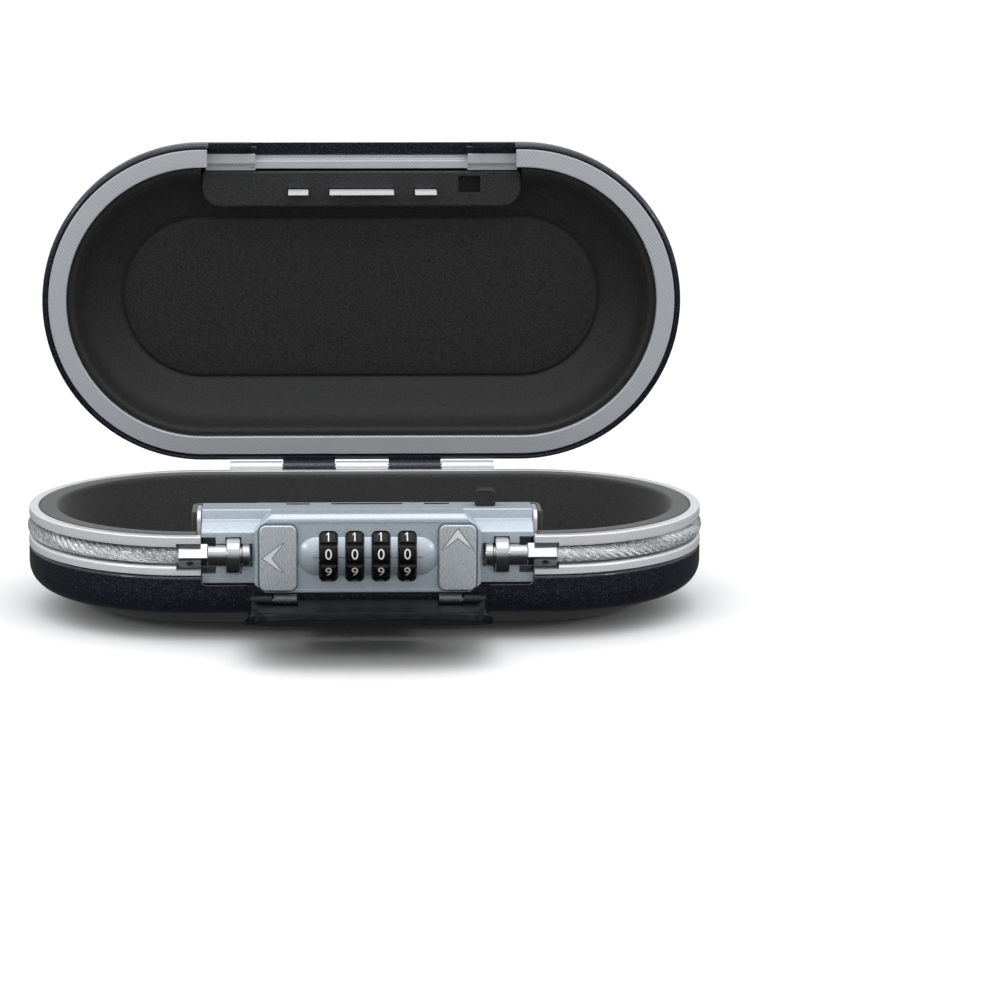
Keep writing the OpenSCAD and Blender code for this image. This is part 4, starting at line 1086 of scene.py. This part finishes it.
def lock_openings():
    """Everything that is cut out of the casting."""
    openings = [box("cavity", (2 - lock_half, face_y + 1.8, lock_z0 + 2),
                    (lock_half - 2, lock_back + 1, plate_z1 - 1)),
                box("cavity", (6 - lock_half, face_y + 1.9, cable_z),
                    (lock_half - 6, lock_back + 2, lock_z1 - 2)),
                box("cavity", (2.1 - lock_half, latch_y, cable_z),
                    (lock_half - 2.1, lock_back + 3, lock_z1 - 2))]
    for x in dial_places:
        slot_face = rounded(rectangle((x - slot_w / 2, cable_z - slot_h / 2),
                                      (x + slot_w / 2, cable_z + slot_h / 2)), 1.9)
        openings.append(panel("dial_slot", slot_face, lock_low.y - 1, slot_back))
        wheel_room = cylinder("wheel_room", (x, dial_y, cable_z), dial_r + 0.3, "x", slot_w, 96)
        openings.append(cut(wheel_room, box("front", (x - 9, lock_low.y - 9, 0), (x + 9, slot_back, 90))))
    openings.append(cylinder("pod_bore", (0, dial_y, cable_z), pod_bore_r, "x", 2 * pod_bore_half))
    openings += fitting_pockets()
    openings += [tab_slot(tab, 0.3, 1.05, lock_z1 - 4, lock_z1 + 1) for tab in tabs]
    openings.append(box("lever_slot", (-button_x - 4, face_y - 1, cable_z - 10),
                        (-button_x + 1.7, face_y + 3, cable_z - 6.5)))
    openings.append(box("slide_slot", (button_x - 1.7, face_y - 1, cable_z - 2.7),
                        (button_x + 1.7, face_y + 3, cable_z + 5.7)))
    openings += [bolt_slot(side, lock_half - 3, lock_half + 1) for side in (-1, 1)]
    openings.append(cylinder("plug_hole", (plug_middle.x, plug_middle.y, lock_z1), plug_hole_r, "z", 12))
    return openings


for form in (side_plates, housing, pod):
    cut(form, *lock_openings())
print("Casting faces:", [len(form.data.polygons) for form in (side_plates, housing, pod)])

# %% Groove round the buttons and index line on the pod
groove_w = 0.6
groove_deep = 1.3
for x in (-button_x, button_x):
    half_w = button_w / 2
    half_h = button_h / 2
    outer = rounded(rectangle((x - half_w - groove_w, button_z - half_h - groove_w),
                              (x + half_w + groove_w, button_z + half_h + groove_w)), 2.9)
    inner = rounded(rectangle((x - half_w + 0.1, button_z - half_h + 0.1),
                              (x + half_w - 0.1, button_z + half_h - 0.1)), 2.4)
    ring_cutter = panel("groove", outer, face_y - 1, face_y + groove_deep)
    cut(ring_cutter, panel("island", inner, face_y - 2, face_y + 2))
    cut(housing, ring_cutter)
index_half = pod_wide / 2 - 5
cut(pod, box("index_line", (-index_half, lock_low.y - 1, cable_z - 0.2),
             (index_half, lock_low.y + 0.7, cable_z + 0.2)))
lock_body = join("lock_body_piece", side_plates, housing, pod)
smooth(lock_body)
dress(lock_body, lock_zinc, "lock_zinc", "base", "lock_body")

# %% [markdown]
# ## Buttons
# Two zinc caps sit on the face of the lock. The left one slides sideways and frees the cable, the right
# one slides up and frees the lid, and each has an engraved arrow that says so. The caps are rounded
# plates. The arrows could be painted on, but here each is a chevron set in a slightly wider groove. The
# chevron's brighter silver is a painted highlight for the light that an engraving's slanted floor catches,
# and the gap round it draws the dark line that makes an engraving readable.

# %% Make the two buttons
button_front = face_y - 1.5
highlight_chevron = [(-5.2, 0), (1.7, 5.0), (-2.3, 0), (1.7, -5.0)]
groove = [(-5.8, 0), (1.7, 5.6), (2.4, 5.2), (-1.7, 0), (2.4, -5.2), (1.7, -5.6)]
arrow_lift = 4.7
arrow_deep = 0.7


def button(name, x):
    """One cap, centred on x."""
    corners = rectangle((x - button_w / 2, button_z - button_h / 2),
                        (x + button_w / 2, button_z + button_h / 2))
    cap = panel(name, rounded(corners, 2.2, steps=8), button_front, face_y - 0.1)
    return round_edges(cap, 0.4, segments=4)


def pointing_left(shape):
    """Set an arrow's outline on the left cap."""
    return [(across - button_x, up + button_z) for across, up in shape]


def pointing_up(shape):
    """Turn an arrow's outline upwards and set it on the right cap."""
    return [(up + button_x, button_z + arrow_lift - across) for across, up in shape]


def arrow(name, cap, turned):
    """Cut the groove of an arrow in a cap and make the chevron in it, whose bright finish is a painted
    highlight.
    """
    cut(cap, panel("groove", turned(groove), button_front - 1, button_front + arrow_deep))
    # The chevron's brighter finish paints the highlight of an engraving's slanted floor.
    return panel(name, turned(highlight_chevron), button_front + 0.12, button_front + arrow_deep)


cable_button = button("cable_release_button_piece", -button_x)
cable_arrow = arrow("cable_arrow_piece", cable_button, pointing_left)
lever_pin_z = cable_z - 8.2
cable_stem = box("stem", (-button_x - 0.5, face_y - 0.4, lever_pin_z - 1.5),
                 (-button_x + 1.5, face_y + 5.4, lever_pin_z + 1.5))
cable_button = join("cable_release_button_piece", cable_button, round_edges(cable_stem, 0.2))
lid_button = button("lid_release_button_piece", button_x)
lid_arrow = arrow("lid_arrow_piece", lid_button, pointing_up)
lid_stem = box("stem", (button_x - 1.5, face_y - 0.4, cable_z - 2.5),
               (button_x + 1.5, face_y + 2.8, cable_z + 2.5))
lid_button = join("lid_release_button_piece", lid_button, round_edges(lid_stem, 0.2))
smooth(cable_button)
smooth(lid_button)
dress(cable_button, button_zinc, "button_zinc", "cable_button", "cable_release_button")
dress(lid_button, button_zinc, "button_zinc", "lid_button", "lid_release_button")
# The arrows take a brighter finish than the caps, as a painted highlight.
dress(cable_arrow, tab_silver_and_arrow_highlight, None, "cable_button")
dress(lid_arrow, tab_silver_and_arrow_highlight, None, "lid_button")

# %% [markdown]
# ## Dials
# Four black wheels with ten digits each, read a little from above. A notch between every two digits
# gives the finger a grip. One wheel is turned on a lathe and notched, then copied. The digits are text,
# sliced into thin strips so that they can be wrapped round the wheel; stamping them flat would leave
# their middles inside it.

# %% Turn and notch one dial
spindle_r = half_height("dial_spindle") + 0.1
half_dial = dial_w / 2
edge = 1.2
dial_profile = ([(-half_dial, spindle_r)]
                + arc((edge - half_dial, dial_r - edge), edge, 180, 90, 6)
                + arc((half_dial - edge, dial_r - edge), edge, 90, 0, 6)
                + [(half_dial, spindle_r)])
dial_blank = lathe_x("dial_blank", dial_profile, dial_y, cable_z, steps=100)
notch_r = 1.4
digit_angle = 36
reading_angle = 8
for step in range(10):
    angle = math.radians(digit_angle * (step + 0.5) + reading_angle)
    place = (0, dial_y - (dial_r + 0.7) * math.cos(angle), cable_z + (dial_r + 0.7) * math.sin(angle))
    cut(dial_blank, cylinder("notch", place, notch_r, "x", 2 * dial_w, 20))
smooth(dial_blank)
print("Dial faces:", len(dial_blank.data.polygons))

# %% Wrap the digits round it
digit_h = 3.5
digit_skin = 0.03
digit_share = 0.69
strip_h = 0.36
one = [(0.25, -0.5), (0.25, 0.5), (-0.1, 0.5), (-0.75, 0.27), (-0.75, 0.15), (-0.2, 0.3), (-0.2, -0.5)]
digit_parts = []
for value in range(10):
    if value == 1:
        digit = outline("digit", [(x, y * digit_h, 0) for x, y in one])
        edit(digit)
        bpy.ops.mesh.edge_face_add()
    else:
        deselect_all()
        bpy.ops.object.text_add()
        digit = bpy.context.object
        digit.data.body = str(value)
        digit.data.size = digit_h / digit_share * mm
        digit.data.align_x = "CENTER"
        digit.data.align_y = "CENTER"
        bpy.ops.object.convert(target="MESH")
        edit(digit)
    for strip in range(-5, 6):
        bpy.ops.mesh.select_all(action="SELECT")
        bpy.ops.mesh.bisect(plane_co=(0, strip * strip_h * mm, 0), plane_no=(0, 1, 0))
    bpy.ops.object.mode_set(mode="OBJECT")
    radius = dial_r + digit_skin
    for vertex in digit.data.vertices:
        turn = math.radians(digit_angle * value + reading_angle) + (vertex.co.y / mm) / dial_r
        vertex.co = Vector((vertex.co.x / mm, dial_y - radius * math.cos(turn),
                            cable_z + radius * math.sin(turn))) * mm
    digit_parts.append(digit)
digit_blank = join("digit_blank", *digit_parts)
print("Digit faces:", len(digit_blank.data.polygons))

# %% Copy the dial and its digits four times
for number, x in enumerate(dial_places, start=1):
    for blank, label, material, slot in ((dial_blank, "piece", dial_plastic, "dial_plastic"),
                                         (digit_blank, "digits", digit_paint, None)):
        wheel = blank.copy()
        wheel.data = blank.data.copy()
        wheel.name = f"dial_{number}_{label}"
        bpy.context.collection.objects.link(wheel)
        wheel.data.transform(Matrix.Translation((x * mm, 0, 0)))
        nodes = [f"dial_{number}"] if blank is dial_blank else []
        dress(wheel, material, slot, f"dial_wheel_{number}", *nodes)
bpy.data.objects.remove(dial_blank)
bpy.data.objects.remove(digit_blank)

# %% [markdown]
# ## Tether cable
# A steel rope in a clear sleeve lies in the groove and goes once round the back of the box. Six strands
# of five wires are wound as in a real rope: each wire is a curve that turns about its strand while the
# strand turns about the rope. The sleeve is one clear rod round them, as it is extruded onto a real
# rope. A striped tube would be lighter, but the wires catch the light one by one.

# %% Lay the path of the cable
rope_end = block_x + 2.1
arc_length = math.pi * cable_r
stub = straight - rope_end
rope_length = 2 * stub + 2 * arc_length + 2 * straight


def cable_point(run):
    """Point on the cable's middle line and the outward direction there, a run from the right end."""
    if run < stub:
        return Vector((rope_end + run, -cable_r, cable_z)), Vector((0, -1, 0))
    run -= stub
    if run < arc_length:
        angle = run / cable_r - math.pi / 2
        out = Vector((math.cos(angle), math.sin(angle), 0))
        return Vector((straight, 0, cable_z)) + cable_r * out, out
    run -= arc_length
    if run < 2 * straight:
        return Vector((straight - run, cable_r, cable_z)), Vector((0, 1, 0))
    run -= 2 * straight
    if run < arc_length:
        angle = run / cable_r + math.pi / 2
        out = Vector((math.cos(angle), math.sin(angle), 0))
        return Vector((-straight, 0, cable_z)) + cable_r * out, out
    run -= arc_length
    return Vector((run - straight, -cable_r, cable_z)), Vector((0, -1, 0))


print("Rope length in mm:", round(rope_length, 1))


# %% Make tubes along lines
def tube(name, lines, radius, sides):
    """A mesh of round tubes along lines of points in millimetres."""
    curve = bpy.data.curves.new(name, "CURVE")
    curve.dimensions = "3D"
    curve.bevel_depth = radius * mm
    curve.bevel_resolution = sides
    curve.use_fill_caps = True
    for points in lines:
        spline = curve.splines.new("POLY")
        spline.points.add(len(points) - 1)
        for knot, point in zip(spline.points, points):
            knot.co = (*(point * mm), 1)
    piece = bpy.data.objects.new(name, curve)
    bpy.context.collection.objects.link(piece)
    pick(piece)
    bpy.ops.object.convert(target="MESH")
    return piece


sleeve_knots = 240
print("Knots along the sleeve:", sleeve_knots)

# %% Wind the strands and draw the sleeve over them
strand_count = 6
strand_r = rope_r / 3
strand_path = rope_r - strand_r
strand_lay = 18.0
wire_count = 5
wire_r = 0.38 * strand_r
wire_path = strand_r - wire_r
wire_lay = 9.0
knots = 520
upward = Vector((0, 0, 1))


def wire_line(strand, wire):
    """The middle line of one wire of one strand."""
    points = []
    for knot in range(knots + 1):
        run = rope_length * knot / knots
        centre, out = cable_point(run)
        turn = -2 * math.pi * (run / strand_lay + strand / strand_count)
        away = math.cos(turn) * out + math.sin(turn) * upward
        along = math.cos(turn) * upward - math.sin(turn) * out
        twist = 2 * math.pi * (run / wire_lay + wire / wire_count)
        lean = math.cos(twist) * away + math.sin(twist) * along
        points.append(centre + strand_path * away + wire_path * lean)
    return points


wire_lines = [wire_line(strand, wire) for strand in range(strand_count) for wire in range(wire_count)]
rope = tube("cable_rope_piece", wire_lines, wire_r, 0)
core_line = [cable_point(rope_length * knot / knots)[0] for knot in range(knots + 1)]
core = tube("rope_core", [core_line], strand_path, 2)
rope = join("cable_rope_piece", rope, core)
smooth(rope, 60)
dress(rope, rope_steel, "rope_steel", "base", "cable_rope")
sleeve_start = 8.4
sleeve_length = rope_length - 2 * sleeve_start
sleeve_line = [cable_point(sleeve_start + sleeve_length * knot / sleeve_knots)[0]
               for knot in range(sleeve_knots + 1)]
sleeve = tube("cable_jacket_piece", [sleeve_line], jacket_r - 0.18, 8)
smooth(sleeve, 60)
dress(sleeve, jacket_vinyl, "jacket_vinyl", "base", "cable_jacket")

# %% [markdown]
# ## Cable ends
# Each end of the rope is clamped in a steel fitting: a square block with a set screw, a neck, a collar
# that fills the pocket of the lock, and a tip that the bolt holds. Everything but the block is turned,
# so it is one profile spun about the cable's line, and the block is a square bar set on its corner.

# %% Turn the fittings and clamp blocks
tip_x = lock_half + 1.3
fitting_profile = [
    (tip_x, 0), (tip_x, 3.2), (tip_x + 0.25, 3.75), (tip_x + 0.8, 4.0), (tip_x + 2.6, 4.0),
    (tip_x + 3.0, 3.6), (tip_x + 3.0, 3.3), (tip_x + 3.4, 3.3), (tip_x + 3.4, 5.5),
    (tip_x + 3.6, 5.95), (tip_x + 4.05, 6.15), (tip_x + 7.55, 6.15), (tip_x + 8.0, 5.95),
    (tip_x + 8.2, 5.5), (tip_x + 8.2, 3.85), (tip_x + 14.3, 3.85), (tip_x + 14.6, 3.6), (tip_x + 14.6, 0),
]
block_start = tip_x + 14.4
block_reach = 4.38
screw_place = block_start + 6.1
screw_well_r = 1.3
screw_well_out = 2.2
for side, label in ((-1, "left"), (1, "right")):
    name = f"cable_fitting_{label}_piece"
    turned = lathe_x(name, [(side * x, r) for x, r in fitting_profile], -cable_r, cable_z, steps=56)
    cut(turned, bolt_slot(side, tip_x - 1, tip_x + 2.6))
    diamond = [(-cable_r - block_reach, cable_z), (-cable_r, cable_z + block_reach),
               (block_reach - cable_r, cable_z), (-cable_r, cable_z - block_reach)]
    clamp = round_edges(bar("clamp", diamond, *on_side(side, block_start, block_end)), 0.45)
    deselect_all()
    well_place = Vector((side * screw_place, -cable_r - screw_well_out, cable_z - screw_well_out)) * mm
    bpy.ops.mesh.primitive_cylinder_add(vertices=32, radius=screw_well_r * mm, depth=4 * mm,
                                        location=well_place, rotation=(-math.pi / 4, 0, 0))
    cut(clamp, bpy.context.object)
    fitting = join(name, turned, clamp)
    smooth(fitting)
    dress(fitting, polished_steel, "steel", "base", f"cable_fitting_{label}")

# %% [markdown]
# ## Port plug
# A soft rubber plug closes a small port on top of the lock. It is a rounded block on a stem, with a
# domed top, so that it can be pinched and pulled.

# %% Mould the plug
plug_head = rectangle((plug_low.x, lock_z1 + 0.02), (plug_high.x, plug_high.z))
plug = panel("port_plug_piece", rounded(plug_head, [0.6, 0.6, 1.8, 1.8], steps=8), plug_low.y, plug_high.y)
round_edges(plug, 0.8, segments=4)
stem = cylinder("stem", (plug_middle.x, plug_middle.y, lock_z1 - 1.2), 1.4, "z", 4)
plug = join("port_plug_piece", plug, round_edges(stem, 0.2))
smooth(plug)
dress(plug, plug_rubber, "plug_rubber", "plug", "port_plug")

# %% [markdown]
# ## Lock cover
# A moulded cover hides the lock when the box is shut and hangs down in front of it when it is open. It
# is one sheet with three bends, sides that roll inwards, large round upper corners and a raised rim
# inside. It could be cut from a block, but a grid that is bent along the side view and trimmed to the
# front view keeps both outlines exact, and Solidify then gives it its thickness.

# %% Draw the two views of the cover
side_view = rounded(cover_face, [0, 6, 6, 8, 0], steps=6)
runs = [0.0]
for before, after in zip(side_view, side_view[1:]):
    runs.append(runs[-1] + (Vector(after) - Vector(before)).length)
cover_length = runs[-1]
corner_drop = 11.7
bottom_corner = 5.0
roll_w = 5.0
roll_deep = 2.0


def cover_point(x, run):
    """Point on the cover's outside, at x and at a run up its side view. Its sides roll inwards."""
    index = max(i for i in range(len(runs) - 1) if runs[i] <= run + 1e-9)
    share = min(1.0, (run - runs[index]) / (runs[index + 1] - runs[index]))
    y, z = Vector(side_view[index]).lerp(Vector(side_view[index + 1]), share)
    roll = max(0.0, abs(x) - cover_half + roll_w) / roll_w
    flat_top = min(1.0, max(0.0, (bend_z + 3 - z) / 6))
    return Vector((x, y + roll_deep * flat_top * roll**2, z))


def cover_top(lean):
    """Half width and top run where the corner has leaned over by an angle from 0 to 90 degrees."""
    lean = math.radians(lean)
    return cover_half * math.sqrt(math.sin(lean)), cover_length - corner_drop * (1 - math.cos(lean))


def cover_bottom(x):
    """The run at which the cover starts at x, later in its round lower corners."""
    past = max(0.0, abs(x) - cover_half + bottom_corner)
    return bottom_corner - math.sqrt(max(0.0, bottom_corner**2 - past**2))


print("The cover is", round(cover_length, 1), "mm tall along its bends")

# %% Bend the sheet of the cover
lean_steps = 24
row_steps = 40
half_columns = [cover_top(90 * step / lean_steps) for step in range(lean_steps + 1)]
columns = [(-x, top) for x, top in half_columns[:0:-1]] + half_columns
rows = sorted(set(runs + [cover_length * step / row_steps for step in range(row_steps + 1)]))


def bent_grid(name, across, up, place):
    """A grid with each vertex where place(column, row) says, in millimetres, and its faces to the front."""
    deselect_all()
    bpy.ops.mesh.primitive_grid_add(x_subdivisions=across - 1, y_subdivisions=up - 1)
    piece = bpy.context.object
    piece.name = name
    for index, vertex in enumerate(piece.data.vertices):
        vertex.co = place(index % across, index // across) * mm
    edit(piece)
    close_mesh()
    if sum(face.normal.y for face in piece.data.polygons) > 0:
        edit(piece)
        bpy.ops.mesh.flip_normals()
        bpy.ops.object.mode_set(mode="OBJECT")
    return piece


def sheet_place(column, row):
    """Where a vertex of the sheet lies, trimmed to the front view."""
    x, top = columns[column]
    return cover_point(x, min(max(rows[row], cover_bottom(x)), top))


cover = bent_grid("lock_cover_piece", len(columns), len(rows), sheet_place)
print("Cover sheet faces:", len(cover.data.polygons))

# %% Add the rim and the thickness
cover_t = 1.8
rim_w = 1.8
rim_deep = 2.3
side_runs = [run for run in rows if bottom_corner < run < half_columns[-1][1]]
edge_line = [(-cover_half, run) for run in side_runs]
edge_line += columns
edge_line += [(cover_half, run) for run in side_runs[::-1]]
inner_line = []
for index, (x, run) in enumerate(edge_line):
    before = Vector(edge_line[max(index - 1, 0)])
    after = Vector(edge_line[min(index + 1, len(edge_line) - 1)])
    along = (after - before).normalized()
    inner_line.append((x + rim_w * along.y, run - rim_w * along.x))


def rim_place(column, row):
    """Where a vertex of the rim lies: row 0 on the edge of the cover, row 1 inside it."""
    return cover_point(*(edge_line, inner_line)[row][column])


rim_strip = bent_grid("cover_rim", len(edge_line), 2, rim_place)
apply_modifier(cover, "SOLIDIFY", thickness=cover_t * mm, offset=-1)
apply_modifier(rim_strip, "SOLIDIFY", thickness=rim_deep * mm, offset=-1)
round_edges(cover, 0.35, angle=50)
round_edges(rim_strip, 0.3, angle=50)
print("Cover and rim faces:", len(cover.data.polygons), len(rim_strip.data.polygons))

# %% Give the cover its hinge barrels and fold it down
barrel_gap = 0.3
barrel_x = (lug_x[1] + barrel_gap, cover_half - barrel_gap)
for side in (-1, 1):
    low_x, high_x = on_side(side, lug_x[0] - barrel_gap, lug_x[1] + barrel_gap)
    cut(cover, box("lug_room", (low_x, 2 * front_y, 0), (high_x, 0, cover_hinge.z + 3)))
cover_parts = [cover, rim_strip]
for side in (-1, 1):
    low_x, high_x = on_side(side, *barrel_x)
    barrel = [(low_x, pin_bore), (low_x, lug_r - 0.3), (low_x + 0.3, lug_r), (high_x - 0.3, lug_r),
              (high_x, lug_r - 0.3), (high_x, pin_bore)]
    cover_parts.append(lathe_x("barrel", barrel, cover_hinge.y, cover_hinge.z, steps=32))
    middle = ((low_x + high_x) / 2, cover_hinge.y, cover_hinge.z)
    cut(cover, cylinder("pin_room", middle, pin_bore, "x", 12))
lock_cover = join("lock_cover_piece", *cover_parts)
swing(lock_cover, cover_hinge, -90)
smooth(lock_cover, 40)
dress(lock_cover, cover_plastic, "cover_plastic", "cover", "lock_cover")

# %% [markdown]
# ## Parts that keep their CAD shape
# Pins, screws, springs and the works inside the lock have the right shape already, and a loose edge on
# them would not be seen. They only get a finish: polished steel for pins and plates, dark steel for
# screws and springs, and brass for the cams.

# %% Finish the CAD parts that stay
kept_finishes = {
    polished_steel: ("lock_back_plate", "dial_spindle", "cable_release_lever", "cable_bolt", "cable_anchor",
                     "lid_release_slide", "fence_bar", "latch_bar", "lid_hinge_pin"),
    tab_silver_and_arrow_highlight: ("strike_plate",),
    dark_steel: ("lock_plate_screws", "lock_screws", "detent_spring", "cable_bolt_spring",
                 "lid_release_spring", "set_screws", "strike_screws", "cover_hinge_pins"),
    cam_brass: ("dial_cam_1", "dial_cam_2", "dial_cam_3", "dial_cam_4"),
}
for material, names in kept_finishes.items():
    for name in names:
        solid = frame["nodes"][name]
        solid.data.materials.clear()
        solid.data.materials.append(material)
print("CAD parts kept:", sum(len(names) for names in kept_finishes.values()))
